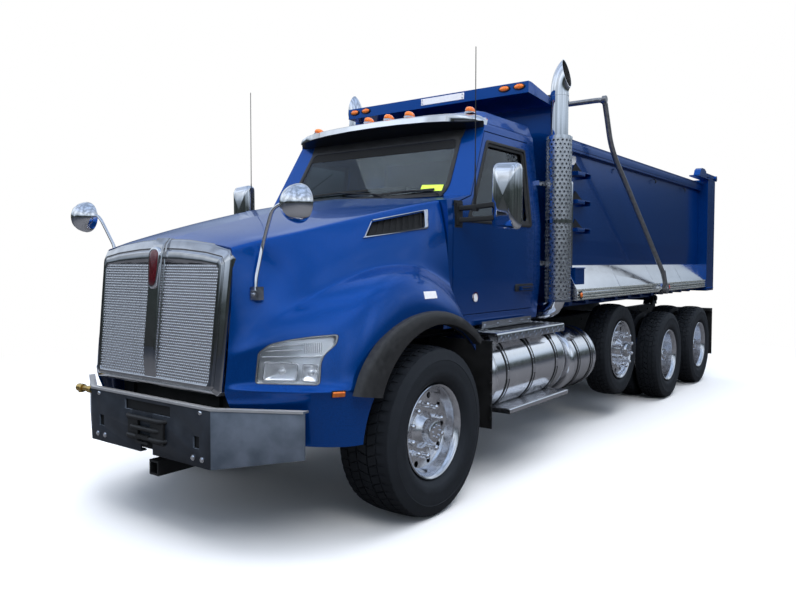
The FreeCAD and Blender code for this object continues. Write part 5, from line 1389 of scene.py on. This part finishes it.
def make_doors():
    """Doors with their seals, handles, sills and the bare disc on the left one."""
    for side in ("left", "right"):
        door = dressed("door_" + side, "blue_paint", 0.006)
        door.name = "door_dressed_" + side
    seal = seal_ring(WINDOW, on_door, ((-0.016, 0.0005), (-0.014, 0.006), (-0.004, 0.009), (0.008, 0.006),
                                       (0.012, -0.028)))
    inner = seal_ring(WINDOW, on_door, ((0.010, -0.002), (0.030, -0.004), (0.034, -0.018), (0.010, -0.024)))
    both_pieces("window_seal", joined(seal, inner), "black_plastic", "door_left", 40)
    both_pieces("handle_plate", across(softened(HANDLE, 0.02), 1.028, 1.042), "black_plastic", "door_left",
                bevel=0.003)
    grip = swept([at(*p) for p in GRIP], [(-0.012, -0.005), (0.012, -0.005), (0.012, 0.005), (-0.012, 0.005)],
                 0.02)
    lock = dome(at(1.042, 1.672, 1.422), LEFTWARD, 0.009, 0.004)
    both_pieces("handle", joined(grip, lock), "chassis_black", "door_left", bevel=0.002)
    disc = dome(at(*DISC_PLACE), (1, 0, 0.1), 0.036, 0.002, 32)
    ring = turned([(0.029, 0.0026), (0.036, 0.0024), (0.036, 0.001), (0.029, 0.001)], 32)
    piece("door_disc", disc, "white", "door_left", smooth=False)
    piece("door_disc_ring", shifted(ring, at(*DISC_PLACE)), "emblem_red", "door_left", smooth=False)
    studs = [bolt(at(1.0525, y, 1.157), LEFTWARD, 0.007) for y in (0.88, 1.08, 1.28, 1.48, 1.60)]
    sill = joined(slab((1.030, 0.836, 1.130), (1.052, 1.640, 1.185)), *studs)
    both_pieces("sill_plate", sill, "aluminium", "chassis", bevel=0.002)


def make_mirrors():
    """Chrome housings on two black arms, with the aerial behind them."""
    outline = softened(MIRROR, 0.045, 6)
    shell, face = (shrinking(outline, MIRROR_CENTRE, steps, lambda x, z, y: at(x, y, z))
                   for steps in (MIRROR_SHELL, MIRROR_GLASS))
    right = both_pieces("mirror_head", joined(shell, face), "chrome", "door_left", 50, replaces="mirror_left")
    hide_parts("mirror_right")
    arms = []
    for z0, z1 in ((1.922, 1.940), (2.005, 2.035)):
        arms.append(swept([at(1.030, 0.520, z0), at(1.120, 0.548, z0 + 0.004), at(1.290, 0.642, z1)],
                          ARM_SECTION, 0.05))
        arms.append(bar((1.270, 0.640, z1 - 0.026), (1.270, 0.640, z1 + 0.026), 0.022, 18))
    arms.append(slab((1.024, 0.482, 1.888), (1.052, 0.560, 2.045)))
    arms.append(slab((1.030, 0.470, 1.870), (1.041, 0.575, 2.062)))
    both_pieces("mirror_arms", joined(*arms), "chassis_black", "door_left", bevel=0.004)
    rod = [bar((1.150, 0.560, z0), (1.150, 0.560, z1), r0, sides, r1) for z0, z1, r0, sides, r1 in
           ((1.990, 2.150, 0.011, 14, 0.008), (2.150, 2.320, 0.006, 12, 0.0045),
            (2.320, 3.118, 0.0036, 10, 0.003))]
    foot = slab((1.132, 0.540, 1.985), (1.168, 0.580, 2.012))
    both_pieces("aerial", joined(*rod, foot), "chassis_black", "door_left", 40)


def make_visor():
    """Bright shade over the windscreen, bowed in plan, black beneath."""
    loops = []
    right_half = [(-s[0], *s[1:]) for s in reversed(VISOR_STATIONS[1:])]
    for x, y, z, height, back_y, back_z in right_half + list(VISOR_STATIONS):
        loops.append([at(x, back_y, back_z),
                      at(x, (y + back_y) / 2 - 0.01, (z + height) * 0.42 + back_z * 0.58),
                      at(x, y + 0.028, z + height + 0.004), at(x, y + 0.006, z + height - 0.006),
                      at(x, y, z + 0.006), at(x, y + 0.004, z), at(x, y + 0.012, z + 0.004),
                      at(x, 1.012, min(z, 2.665) - 0.012), at(x, 1.04, back_z - 0.06)])
    bm = capped(loops)
    for face in bm.faces:
        face.material_index = 1 if face.normal.z < -0.25 else 0
    visor = piece("visor_dressed", bm, ["chrome", "visor_black"], "chassis", replaces="visor")
    smooth_by_angle(visor, 40)
    return visor


def roof_lens(place, size):
    """Low streamlined lamp: a stack of shrinking ovals on a base."""
    width, length, top = size
    loops = [[Vector((width * share * math.cos(a), length * share * math.sin(a) + length * 0.25 * height,
                      top * height))
              for a in angles(20)] for share, height in LENS_STEPS]
    turn = UP.to_track_quat("Z", "Y").to_matrix().to_4x4()
    return moved(ring_mesh(loops, False), Matrix.Translation(place) @ turn)


def on_glass(shapes):
    """Flat patches on the windscreen: (lift, (x, z) corners)."""
    bm = bmesh.new()
    for lift, corners in shapes:
        bm.faces.new([bm.verts.new(on_screen(x, z, lift)) for x, z in corners])
    return bm


def make_roof():
    """Cab shell and roof, visor, roof lamps, and what lies on the windscreen."""
    dressed("cab_shell", "blue_paint", 0.010, segments=3)
    roof = dressed("cab_roof", "blue_paint", 0.014, segments=4)
    trees = [evaluated_tree(obj) for obj in (roof, make_visor())]
    lamps, bases = [], []
    for x in (-0.80, -0.215, 0.0, 0.215, 0.80):
        hits = [cast(tree, at(x, 1.075, 3.2), -UP)[0] for tree in trees]
        place = max((hit for hit in hits if hit), key=lambda hit: hit.z)
        lamps.append(roof_lens(place + UP * 0.008, (0.036, 0.056, 0.042)))
        bases.append(roof_lens(place, (0.042, 0.064, 0.014)))
    piece("roof_lamps", joined(*lamps), "amber", "chassis")
    piece("roof_lamp_bases", joined(*bases), "chrome", "chassis")
    seal = seal_ring(SCREEN, on_screen, ((-0.020, 0.0005), (-0.018, 0.007), (-0.004, 0.010), (0.012, 0.007),
                                         (0.018, -0.004)), 0.05)
    header = ((-0.79, 2.585), (0.79, 2.585), (0.80, 2.658), (-0.80, 2.658))
    rubber = piece("screen_seal", joined(seal, on_glass([(lift, header) for lift in (0.0015, 0.004)])),
                   "black_plastic", "chassis")
    smooth_by_angle(rubber, 40)
    bands = [(0.0015, ((-0.765, low), (0.765, low), (0.765, high), (-0.765, high)))
             for low, high in ((2.505, 2.590), (2.138, 2.152))]
    piece("screen_band", on_glass(bands), "dark_mesh", "chassis", smooth=False)
    sticker = ((0.560, 2.168), (0.762, 2.160), (0.764, 2.208), (0.562, 2.218))
    piece("screen_sticker", on_glass([(0.002, sticker)]), "sticker", "chassis", smooth=False)
    wipers = []
    for pivot, start, end in WIPERS:
        x, z = (start[0] + end[0]) / 2, (start[1] + end[1]) / 2
        wipers.append(tube([on_screen(*pivot, 0.010), on_screen(pivot[0] - 0.08, pivot[1] + 0.03, 0.032),
                            on_screen(x, z, 0.026)], 0.006, sides=8))
        wipers.append(swept([on_screen(*start, 0.013), on_screen(x, z + 0.003, 0.017),
                             on_screen(*end, 0.013)], BLADE))
        wipers.append(drum(on_screen(*pivot, -0.004), on_screen(*pivot, 0.022), 0.015, 16))
    piece("wipers", joined(*wipers), "chassis_black", "chassis", bevel=0.001)


# Exhaust stacks

STACK_X, STACK_Y = 1.130, 1.985
PIPE_R, SHIELD_R = 0.075, 0.109
GUARD_COLUMNS = 18
HOLE_R = 0.0105
# Foot, top and radius of each band
STACK_BANDS = ((1.290, 1.312, SHIELD_R + 0.003), (2.672, 2.694, SHIELD_R + 0.003),
               (2.690, 2.704, SHIELD_R - 0.012), (3.040, 3.062, PIPE_R + 0.003),
               (1.960, 1.990, SHIELD_R + 0.003))


def stack_tip(sign):
    """Turned-out end: rings that pass from the upright pipe to an upright oval mouth."""
    loops, inner = [], []
    low, high = Vector((STACK_X, STACK_Y, 3.060)), Vector((STACK_X + 0.058, STACK_Y + 0.012, 3.230))
    for step in range(11):
        t = step / 10
        ring = []
        for a in angles(32):
            c, s = math.cos(a), math.sin(a)
            start = low + Vector((PIPE_R * c, PIPE_R * s, 0))
            handle = start + UP * (0.035 + 0.085 * (1 - c))
            end = high + Vector((0.030 * c, 0.070 * s, -0.122 * c))
            ring.append(start.lerp(handle, t).lerp(handle.lerp(end, t), t))
        lining = [p.lerp(low.lerp(high, t), 0.05) for p in ring]
        loops.append([at(sign * p.x, p.y, p.z) for p in ring])
        inner.append([at(sign * p.x, p.y, p.z) for p in lining])
    outer = ring_mesh(loops + [inner[-1]], False)
    dark = ring_mesh(inner[4:], False)
    bmesh.ops.reverse_faces(dark, faces=dark.faces)
    dark.faces.new([dark.verts.new(p) for p in inner[4]])
    return outer, dark


def perforated(sign, low, high, radius):
    """Rolled guard with staggered round holes."""
    bm = bmesh.new()
    known = {}
    pitch = math.tau / GUARD_COLUMNS
    rows = int((high - low) / 0.033)
    rise = (high - low) / rows

    def on_guard(angle, z, r):
        return at(sign * (STACK_X + r * math.cos(angle)), STACK_Y + r * math.sin(angle), z)

    def corner(angle, z):
        key = (round(angle / (pitch / 4)) % (GUARD_COLUMNS * 4), round(z, 4))
        if key not in known:
            known[key] = bm.verts.new(on_guard(angle, z, radius))
        return known[key]

    def lip(turn):
        angle = a + pitch / 2 + HOLE_R * math.cos(turn) / radius
        height = z + rise / 2 + HOLE_R * math.sin(turn)
        return on_guard(angle, height, radius), on_guard(angle, height, radius - 0.003)

    for row in range(rows):
        z = low + rise * row
        for column in range(GUARD_COLUMNS):
            a = pitch * (column + 0.5 * (row % 2))
            pierced(bm, [corner(a + pitch * u, z + rise * v) for u, v in CELL_BORDER], lip)
    return outwards(bm)


def make_stacks():
    """Pipes with their bands, guards and brackets on both sides."""
    pipes, guards, darks = [], [], []
    for sign in (1, -1):
        tip, dark = stack_tip(sign)
        x = sign * STACK_X
        pipes.append(tube([at(sign * 0.42, STACK_Y, 1.0205), at(sign * 0.42, STACK_Y, 1.205),
                           at(x, STACK_Y, 1.205), at(x, STACK_Y, 3.062)], PIPE_R, 0.17, 32))
        pipes.append(tip)
        pipes += [bar((x, STACK_Y, low), (x, STACK_Y, high), radius, 40) for low, high, radius in STACK_BANDS]
        for z in (1.62, 2.30):
            pipes.append(slab((sign * 0.995, STACK_Y - 0.17, z - 0.02),
                              (sign * 1.03, STACK_Y - 0.02, z + 0.02)))
        darks.append(dark)
        guards.append(perforated(sign, 1.310, 2.674, SHIELD_R))
    pipe = piece("stack_pipes", joined(*pipes), "chrome", "chassis", replaces="exhaust_stacks")
    smooth_by_angle(pipe, 35)
    guard = piece("stack_guards", joined(*guards), "stainless_guard", "chassis")
    smooth_by_angle(guard, 50)
    piece("stack_mouths", joined(*darks), "soot", "chassis")


# Tanks, steps and flaps

# Front, back, radius, axis and number of bands
TANKS = ((0.760, 2.040, 0.305, 0.895, 0.790, 3), (2.205, 2.790, 0.285, 0.895, 0.735, 2))
CAP_YS = (0.92, 2.36)
CAP_ANGLE = 52


def lengthwise_turned(profile, x, z):
    """Solid of revolution about a line along the truck, from (radius, y) corners."""
    return moved(turned(profile, 72), Matrix.Translation(at(x, 0, z)) @ Matrix.Rotation(QUARTER, 4, "Z"))


def tank_shell(y0, y1, radius, x, z):
    """Polished tank with dished ends and a seam near each of them."""
    dish = ((radius * 0.70, 0.002), (radius - 0.030, 0.006), (radius - 0.010, 0.016), (radius, 0.036),
            (radius, 0.050))
    profile = [(AXIS_R, y0 + 0.002)] + [(r, y0 + depth) for r, depth in dish] + [(radius, (y0 + y1) / 2)]
    profile += [(r, y1 - depth) for r, depth in reversed(dish)] + [(AXIS_R, y1 - 0.002)]
    seam = ((radius, -0.004), (radius + 0.0022, -0.002), (radius + 0.0022, 0.002), (radius, 0.004),
            (radius - 0.004, 0))
    seams = [lengthwise_turned([(r, y + dy) for r, dy in seam], x, z) for y in (y0 + 0.052, y1 - 0.052)]
    return joined(lengthwise_turned(profile, x, z), *seams)


def hoop(y, half, radius, height, x, z):
    """Band round a tank."""
    return lengthwise_turned([(radius - 0.002, y - half), (radius + height, y - half),
                              (radius + height, y + half), (radius - 0.002, y + half)], x, z)


def round_tank(radius, x, z, degrees, y, lift=0.006):
    """Point on a tank's face at an angle above its outer side."""
    a = math.radians(degrees)
    return at(x + (radius + lift) * math.cos(a), y, z + (radius + lift) * math.sin(a))


def make_tanks():
    """Fuel and oil tank with bands, feet, caps and plugs."""
    shells, steel, black = [], [], []
    for y0, y1, radius, x, z, count in TANKS:
        shells.append(tank_shell(y0, y1, radius, x, z))
        for i in range(count):
            y = y0 + (y1 - y0) * (i + 0.5) / count
            steel.append(hoop(y, 0.016, radius, 0.0035, x, z))
            black += [hoop(y + side * 0.019, 0.0045, radius, 0.0055, x, z) for side in (-1, 1)]
            if count == 3:
                for side in (-1, 1):
                    fork = [round_tank(radius, x, z, angle,
                                       y + side * (0.019 + 0.075 * ((angle - 38) / 42) ** 1.2))
                            for angle in range(38, 81, 6)]
                    black.append(tube(fork, 0.006, 0, 8))
                steel.append(slab((x + 0.300, y - 0.022, z - 0.032), (x + 0.3115, y + 0.022, z + 0.032)))
            foot = z - radius - 0.006
            black.append(slab((0.4325, y - 0.03, foot), (x, y + 0.03, foot + 0.036)))
            black.append(slab((0.4325, y - 0.03, foot), (0.472, y + 0.03, 0.98)))
    piece("tank_shells", joined(*shells), "polished_tank", "chassis", replaces="tanks")
    piece("tank_bands", joined(*steel), "aluminium", "chassis", smooth=False)
    piece("tank_edges", joined(*black), "chassis_black", "chassis", smooth=False)
    caps = []
    for y, (_, _, radius, x, z, _) in zip(CAP_YS, TANKS):
        place = round_tank(radius, x, z, CAP_ANGLE, y, -0.004)
        out = Vector((math.cos(math.radians(CAP_ANGLE)), 0, math.sin(math.radians(CAP_ANGLE))))
        caps.append(drum(place, place + out * 0.018, 0.058, 36))
        caps.append(drum(place + out * 0.018, place + out * 0.040, 0.049, 12))
    piece("tank_caps", joined(*caps), "aluminium", "chassis", bevel=0.003)
    small = [bolt(at(0.60 + 0.12 * i, 0.7615, 0.62 + 0.10 * (i % 2)), AHEAD, 0.010) for i in range(5)]
    piece("tank_plugs", joined(*small), "brass", "chassis", smooth=False)


STEP_FASCIA = ((1.198, 1.116), (1.214, 1.112), (1.222, 1.098), (1.222, 1.050), (1.218, 1.046), (1.214, 1.050),
               (1.214, 1.094), (1.208, 1.104), (1.198, 1.106))
STEP_NOSE = ((1.250, 0.546), (1.256, 0.541), (1.256, 0.516), (1.250, 0.509), (1.247, 0.512), (1.247, 0.543))
# Front, back, outer face, foot and top of the battery box and the tool box
BOXES = ((0.780, 1.620, -1.180, 0.560, 1.080), (1.700, 2.500, -1.150, 0.600, 1.010))


def slanted(stud, place, odd, axis):
    """Stud of the chequered pattern, which leans by turns to either side."""
    turn = Matrix.Rotation(math.radians(45 if odd else -45), 4, axis)
    return moved(stud, Matrix.Translation(at(*place)) @ turn)


def make_steps():
    """Chequered upper tread with a mat, and a ribbed lower step, over the CAD's plates."""
    dressed("steps", "aluminium", 0.003)
    piece("step_fascia", lengthways(STEP_FASCIA, 0.770, 1.930), "aluminium", "chassis", bevel=0.001)
    studs = []
    for row in range(22):
        for column in range(11):
            x = 0.925 + 0.0255 * column
            y = 0.795 + 0.052 * row + 0.026 * (column % 2)
            under_mat = 0.955 < x < 1.135 and 0.98 < y < 1.74
            if not under_mat and y <= 1.915:
                stud = block((-0.0125, -0.0022, 0), (0.0125, 0.0022, 0.0022))
                studs.append(slanted(stud, (x, y, 1.1158), (row + column) % 2, "Z"))
    for row in range(21):
        for column in range(2):
            stud = block((0, -0.012, -0.0022), (0.002, 0.012, 0.0022))
            place = (1.2218, 0.800 + 0.054 * row + 0.027 * column, 1.062 + 0.022 * column)
            studs.append(slanted(stud, place, (row + column) % 2, "X"))
    piece("step_studs", joined(*studs), "aluminium", "chassis", smooth=False)
    mats = [slab((0.960, 0.985, 1.1155), (1.130, 1.735, 1.1205))]
    mats += [slab((0.966, 1.000 + 0.052 * i, 1.1200), (1.124, 1.018 + 0.052 * i, 1.1225)) for i in range(14)]
    piece("step_mats", joined(*mats), "flap_rubber", "chassis", smooth=False)
    ribs = [slab((1.058, 0.915 + 0.0268 * i, 0.5445), (1.242, 0.928 + 0.0268 * i, 0.5485)) for i in range(38)]
    ribs.append(lengthways(STEP_NOSE, 0.900, 1.940))
    piece("step_ribs", pair(joined(*ribs)), "aluminium", "chassis", smooth=False)


def make_boxes():
    """Battery and tool boxes on the right, with lids, latches and straps."""
    dressed("side_boxes", "aluminium", 0.012, segments=3)
    parts = []
    for y0, y1, x, z0, z1 in BOXES:
        parts.append(slab((x - 0.006, y0 + 0.045, z0 + 0.05), (x + 0.004, y1 - 0.045, z1 - 0.05)))
        for y in (y0 + 0.2, y1 - 0.2):
            parts.append(slab((x - 0.016, y - 0.022, z1 - 0.115), (x, y + 0.022, z1 - 0.040)))
            parts.append(bar((x - 0.012, y - 0.03, z0 + 0.07), (x - 0.012, y + 0.03, z0 + 0.07), 0.008, 12))
    piece("box_lids", joined(*parts), "aluminium", "chassis", bevel=0.003)


def make_flaps():
    """Flaps behind the front wheels with their bolts."""
    dressed("mudflaps", "flap_rubber", 0.003)
    heads = [bolt(at(sign * 1.185, 0.7405, 0.50 + 0.085 * i), AHEAD, 0.009) for sign in (1, -1)
             for i in range(6)]
    piece("flap_bolts", joined(*heads), "chassis_black", "chassis", smooth=False)


# Running gear

UNDER_BEVELS = {"frame": 0.003, "axles": 0.004, "suspension": 0.003, "powertrain": 0.006, "tow_hitch": 0.004,
                "knuckle_left": 0.004, "knuckle_right": 0.004, "tie_rod": 0.002}
RAIL_BOLT_YS = (-0.62, -0.30, 0.10, 0.55, 0.95, 1.35, 1.75, 2.9, 3.3, 4.2, 4.6, 5.4, 5.8, 6.2, 6.6)


def make_under():
    """Frame, axles and driveline in black, the hoist in steel, and the rails' bolts."""
    for node, bevel in UNDER_BEVELS.items():
        dressed(node, "chassis_black", bevel)
    for node in ("hoist_barrel", "hoist_stage_1", "hoist_stage_2", "hoist_stage_3"):
        dressed(node, "cylinder_steel", 0.002)
    heads = [bolt(at(sign * 0.4325, y, z), LEFTWARD * sign, 0.012) for sign in (1, -1) for y in RAIL_BOLT_YS
             for z in (0.80, 0.965)]
    piece("rail_bolts", joined(*heads), "chassis_black", "chassis", smooth=False)


# Tipping body

SIDE_X = 1.100
SKIRT_X = SIDE_X + 0.122
SKIRT_FOOT, SKIRT_TOP = 1.290, 1.385
PANEL = ((SIDE_X - 0.002, 2.604), (SIDE_X + 0.006, 2.596), (SIDE_X + 0.016, 1.836), (SIDE_X + 0.014, 1.822),
         (SIDE_X + 0.004, 1.604), (SIDE_X - 0.002, 1.600))
ARM_LINE = ((1.282, 4.574, 1.330), (1.282, 4.472, 1.502), (1.282, 4.093, 1.768), (1.282, 3.212, 2.397),
            (1.282, 2.921, 2.599), (1.282, 2.780, 2.740), (1.282, 2.690, 2.950), (1.282, 2.628, 3.085),
            (1.250, 2.620, 3.108), (1.190, 2.620, 3.110))
BOSS = ((0.022, 1.262), (0.060, 1.262), (0.060, 1.300), (0.052, 1.304), (0.034, 1.304), (0.030, 1.308),
        (AXIS_R, 1.308), (AXIS_R, 1.262))
BOW_Y, BOW_Z = 2.620, 3.110
ROLLER_Y, ROLLER_Z = 2.290, 3.080
# (Share of size, height) steps of the lamps on the cab shield and of their rims
SHIELD_LAMP = ((1.0, 0.0), (1.0, 0.006), (0.90, 0.012), (0.6, 0.016), (0.02, 0.017))
SHIELD_RIM = ((1.22, -0.002), (1.20, 0.006), (1.0, 0.008), (0.98, 0.0))
HINGE_LUG = ((6.14, 2.760), (6.52, 2.760), (6.47, 2.85), (6.40, 2.875), (6.26, 2.875), (6.19, 2.84))
COVER_HOOK = ((0.018, 2.575), (0.040, 2.570), (0.046, 2.545), (0.034, 2.532))


def make_body():
    """Sides, front, floor and gate, with a raised panel and a cap along each side."""
    for node, bevel, segments in (("bed_sides", 0.008, 3), ("bed_front", 0.008, 3), ("bed_floor", 0.004, 2),
                                  ("tailgate", 0.008, 3)):
        dressed(node, "blue_paint", bevel, segments=segments)
    piece("side_panels", pair(lengthways(PANEL, 2.196, 6.559)), "blue_paint", "bed", bevel=0.003)
    rail = swept([at(SIDE_X + 0.051, 2.192, 2.652), at(SIDE_X + 0.051, 6.56, 2.652)],
                 [(-0.004, -0.030), (0.004, -0.026), (0.004, 0.026), (-0.004, 0.030)])
    cap = slab((SIDE_X - 0.082, 2.19, 2.698), (SIDE_X + 0.053, 6.56, 2.706))
    piece("rail_caps", pair(joined(rail, cap)), "blue_paint", "bed", bevel=0.003)


def make_skirts():
    """Polished slopes with a ribbed rail along their feet, seams, marker lamps and a bracket."""
    dressed("bed_skirts", "stainless", 0.004)
    ribs = []
    for z in (SKIRT_FOOT + 0.012, SKIRT_FOOT + 0.034, SKIRT_FOOT + 0.060, SKIRT_FOOT + 0.084):
        ribs.append(lengthways([(SKIRT_X - 0.001, z - 0.008), (SKIRT_X + 0.005, z - 0.005),
                                (SKIRT_X + 0.005, z + 0.005), (SKIRT_X - 0.001, z + 0.008)], 2.200, 6.555))
    ribs.append(lengthways([(SKIRT_X - 0.002, SKIRT_TOP - 0.002), (SKIRT_X + 0.006, SKIRT_TOP + 0.001),
                            (SKIRT_X + 0.004, SKIRT_TOP + 0.007), (SKIRT_X - 0.006, SKIRT_TOP + 0.006)],
                            2.196, 6.557))
    piece("skirt_rails", pair(joined(*ribs)), "pale_rail", "bed", bevel=0.001)
    seams = []
    for y in (3.28, 4.37, 5.46):
        a, b = at(SIDE_X + 0.010, y, 1.597), at(SKIRT_X, y, 1.392)
        along = (b - a).normalized()
        lift = Vector((-along.z, 0, along.x)) * 0.001
        seams.append(swept([a + lift, b + lift],
                           [(-0.012, 0), (0.012, 0), (0.012, 0.0015), (-0.012, 0.0015)]))
    piece("skirt_seams", pair(joined(*seams)), "stainless", "bed", smooth=False)
    lamps, rims = [], []
    for y in (2.262, 4.86):
        lamps.append(dome(at(SKIRT_X + 0.008, y, 1.338), LEFTWARD, 0.027, 0.014, 24))
        rim = turned([(0.026, 0.006), (0.034, 0.005), (0.036, -0.002), (0.026, -0.002)], 24)
        rims.append(shifted(rim, at(SKIRT_X + 0.006, y, 1.338)))
    piece("side_markers_front", pair(lamps[0]), "amber", "bed")
    piece("side_markers_rear", pair(lamps[1]), "red", "bed")
    piece("side_marker_rims", pair(joined(*rims)), "flap_rubber", "bed")
    bracket = slab((SIDE_X + 0.004, 2.200, 1.412), (SIDE_X + 0.098, 2.410, 1.578))
    shelf = slab((SIDE_X + 0.004, 2.196, 1.570), (SIDE_X + 0.106, 2.418, 1.582))
    web = across([(2.41, 1.575), (2.44, 1.575), (2.41, 1.42)], SIDE_X + 0.02, SIDE_X + 0.03)
    piece("side_bracket", pair(joined(bracket, shelf, web)), "blue_paint", "bed", bevel=0.005, segments=3)


def make_ladder():
    """Grab rail and pocket steps at the body's front corner: rungs, each with a dark triangle of painted
    shadow over it.
    """
    rail = tube([at(SIDE_X - 0.004, 2.214, 2.342), at(1.152, 2.214, 2.342), at(1.152, 2.214, 1.479),
                 at(SIDE_X - 0.004, 2.214, 1.479)], 0.011, 0.035, 14)
    piece("grab_rail", pair(joined(rail, bar((SIDE_X, 2.214, 1.92), (1.150, 2.214, 1.92), 0.008, 12))),
          "chrome", "bed")
    rungs, painted_shadows = [], []
    for z in (2.400, 2.150, 1.900):
        rungs.append(slab((SIDE_X, 2.262, z + 0.0255), (SIDE_X + 0.088, 2.560, z + 0.034)))
        rungs.append(across([(2.552, z + 0.034), (2.562, z + 0.034), (2.562, z - 0.01), (2.552, z - 0.01)],
                            SIDE_X, SIDE_X + 0.088))
        # Dark triangle over the rung: painted shadow on a thin flat sheet.
        painted_shadows.append(across([(2.300, z + 0.036), (2.548, z + 0.036), (2.370, z + 0.120)],
                             SIDE_X + 0.012, SIDE_X + 0.0185))
    piece("ladder_rungs", pair(joined(*rungs)), "blue_paint", "bed", bevel=0.002)
    piece("ladder_rung_shadows", pair(joined(*painted_shadows)), "dark_mesh", "bed", smooth=False)


def make_arms():
    """Bent tube arms from their pivots on the skirts up to the bow that draws the cover."""
    outline = [(0.020 * math.cos(a) + 0.004 * math.copysign(1, math.cos(a)), 0.024 * math.sin(a))
               for a in angles(16, 0.5)]
    arm = swept([at(*p) for p in ARM_LINE], outline, 0.11)
    boss = shifted(turned(BOSS, 36), at(0, *ARM_LINE[0][1:]))
    gusset = across([(4.60, 1.37), (4.51, 1.34), (4.47, 1.52), (4.50, 1.54)], 1.268, 1.296)
    bow = tube([at(-1.20, BOW_Y, BOW_Z), at(1.20, BOW_Y, BOW_Z)], 0.024, 0, 20)
    arms = piece("tarp_arms_dressed", joined(pair(joined(arm, boss, gusset)), bow), "arm_steel", "tarp_arms",
                 replaces="tarp_arms")
    smooth_by_angle(arms, 40)
    ends = bar((1.262, BOW_Y, BOW_Z), (1.302, BOW_Y, BOW_Z), 0.034, 24)
    piece("bow_ends", pair(ends), "arm_steel", "tarp_arms", bevel=0.006)


def make_roller():
    """Cover rolled on its spool behind the cab shield, with bright end plates."""
    dressed("tarp_roller", "chassis_black", 0.003)
    ends = [bar((start, ROLLER_Y, ROLLER_Z), (end, ROLLER_Y, ROLLER_Z), radius, 32)
            for start, end, radius in ((1.042, 1.052, 0.062), (1.052, 1.062, 0.040), (1.062, 1.075, 0.022))]
    piece("roller_ends", pair(joined(*ends)), "aluminium", "bed", bevel=0.002)
    outline = []
    for a in angles(60):
        r = 0.0602 + 0.0022 * a / math.tau
        outline.append((frame_y(ROLLER_Y) + r * math.cos(a), ROLLER_Z + r * math.sin(a)))
    piece("rolled_cover", prism(outline, "X", -1.02, 1.02), "flap_rubber", "bed", smooth=False)


def make_shield():
    """Lamps and a bare plate along the lip over the cab."""
    for name, material, steps in (("shield_lamps", "amber", SHIELD_LAMP),
                                  ("shield_lamp_rims", "flap_rubber", SHIELD_RIM)):
        shapes = []
        for x in (-0.90, -0.76, 0.76, 0.90):
            loops = [[Vector((0.046 * share * math.cos(a), 0.022 * share * math.sin(a), height))
                      for a in angles(24)]
                     for share, height in steps]
            place = Matrix.Translation(at(x, 1.688, 3.098)) @ Matrix.Rotation(QUARTER, 4, "X")
            shapes.append(moved(ring_mesh(loops, False), place))
        piece(name, joined(*shapes), material, "bed")
    plates = joined(slab((-0.10, 1.684, 3.066), (0.36, 1.690, 3.124)),
                    slab((1.099, 2.262, 2.500), (1.108, 2.400, 2.580)))
    piece("blank_plates", plates, "white", "bed", bevel=0.001)
    heads = [bolt(at(x, 1.684, z), AHEAD, 0.005) for x in (-0.085, 0.345) for z in (3.080, 3.110)]
    piece("plate_screws", joined(*heads), "chrome", "bed", smooth=False)


def make_rear():
    """Hinge hardware on the rear posts, lamps and reflectors, and the cover's hooks."""
    metal, red, white = [], [], []
    for sign in (1, -1):
        x = sign * (SIDE_X + 0.090)
        metal.append(slab((x - 0.06, 6.02, 2.748), (x + 0.06, 6.60, 2.764)))
        metal.append(across(HINGE_LUG, x - 0.04, x + 0.04))
        metal.append(slab((x - 0.03, 6.45, 2.79), (x + 0.03, 7.06, 2.835)))
        metal.append(slab((x - 0.05, 6.60, 2.748), (x + 0.05, 6.90, 2.762)))
        metal.append(bar((x, 6.72, 2.755), (x, 6.72, 2.830), 0.034, 24))
        metal.append(bar((x, 6.72, 2.812), (x, 7.02, 2.800), 0.026, 20))
        metal.append(bar((sign * 1.13, 7.02, 2.800), (sign * 1.235, 7.02, 2.800), 0.038, 24))
        red += [dome(at(sign * 1.168, 6.947, z), REARWARD, 0.050, 0.016, 28) for z in (1.46, 1.62, 1.78)]
        white.append(dome(at(sign * 1.168, 6.947, 1.94), REARWARD, 0.040, 0.014, 24))
        metal += [bolt(at(sign * 1.236, 6.60 + 0.05 * i, 1.275), LEFTWARD * sign, 0.009) for i in range(7)]
    gate = [dome(at(x, 7.0958, 1.36), REARWARD, 0.030, 0.012, 20) for x in (-0.45, -0.15, 0.15, 0.45)]
    piece("rear_hardware", joined(*metal), "blue_paint", "bed", bevel=0.003)
    piece("rear_lamps", joined(*red), "red", "bed")
    piece("gate_reflectors", joined(*gate), "red", "tailgate")
    piece("reversing_lamps", joined(*white), "white", "bed")
    hook = tube([at(SIDE_X + out, 4.593, z) for out, z in COVER_HOOK], 0.006, 0.01, 10)
    more = [shifted(hook.copy(), (0, shift, 0)) for shift in (-1.2, 1.2)]
    piece("cover_hooks", pair(joined(hook, *more)), "chassis_black", "bed")


dress_nodes()
make_wheels()
make_front(*make_hood())
make_doors()
make_mirrors()
make_roof()
make_stacks()
make_tanks()
make_steps()
make_boxes()
make_flaps()
make_under()
make_body()
make_skirts()
make_ladder()
make_arms()
make_roller()
make_shield()
make_rear()
make_camera()
make_world()
make_floor()
make_lights()
bpy.context.scene.view_settings.view_transform = "Standard"
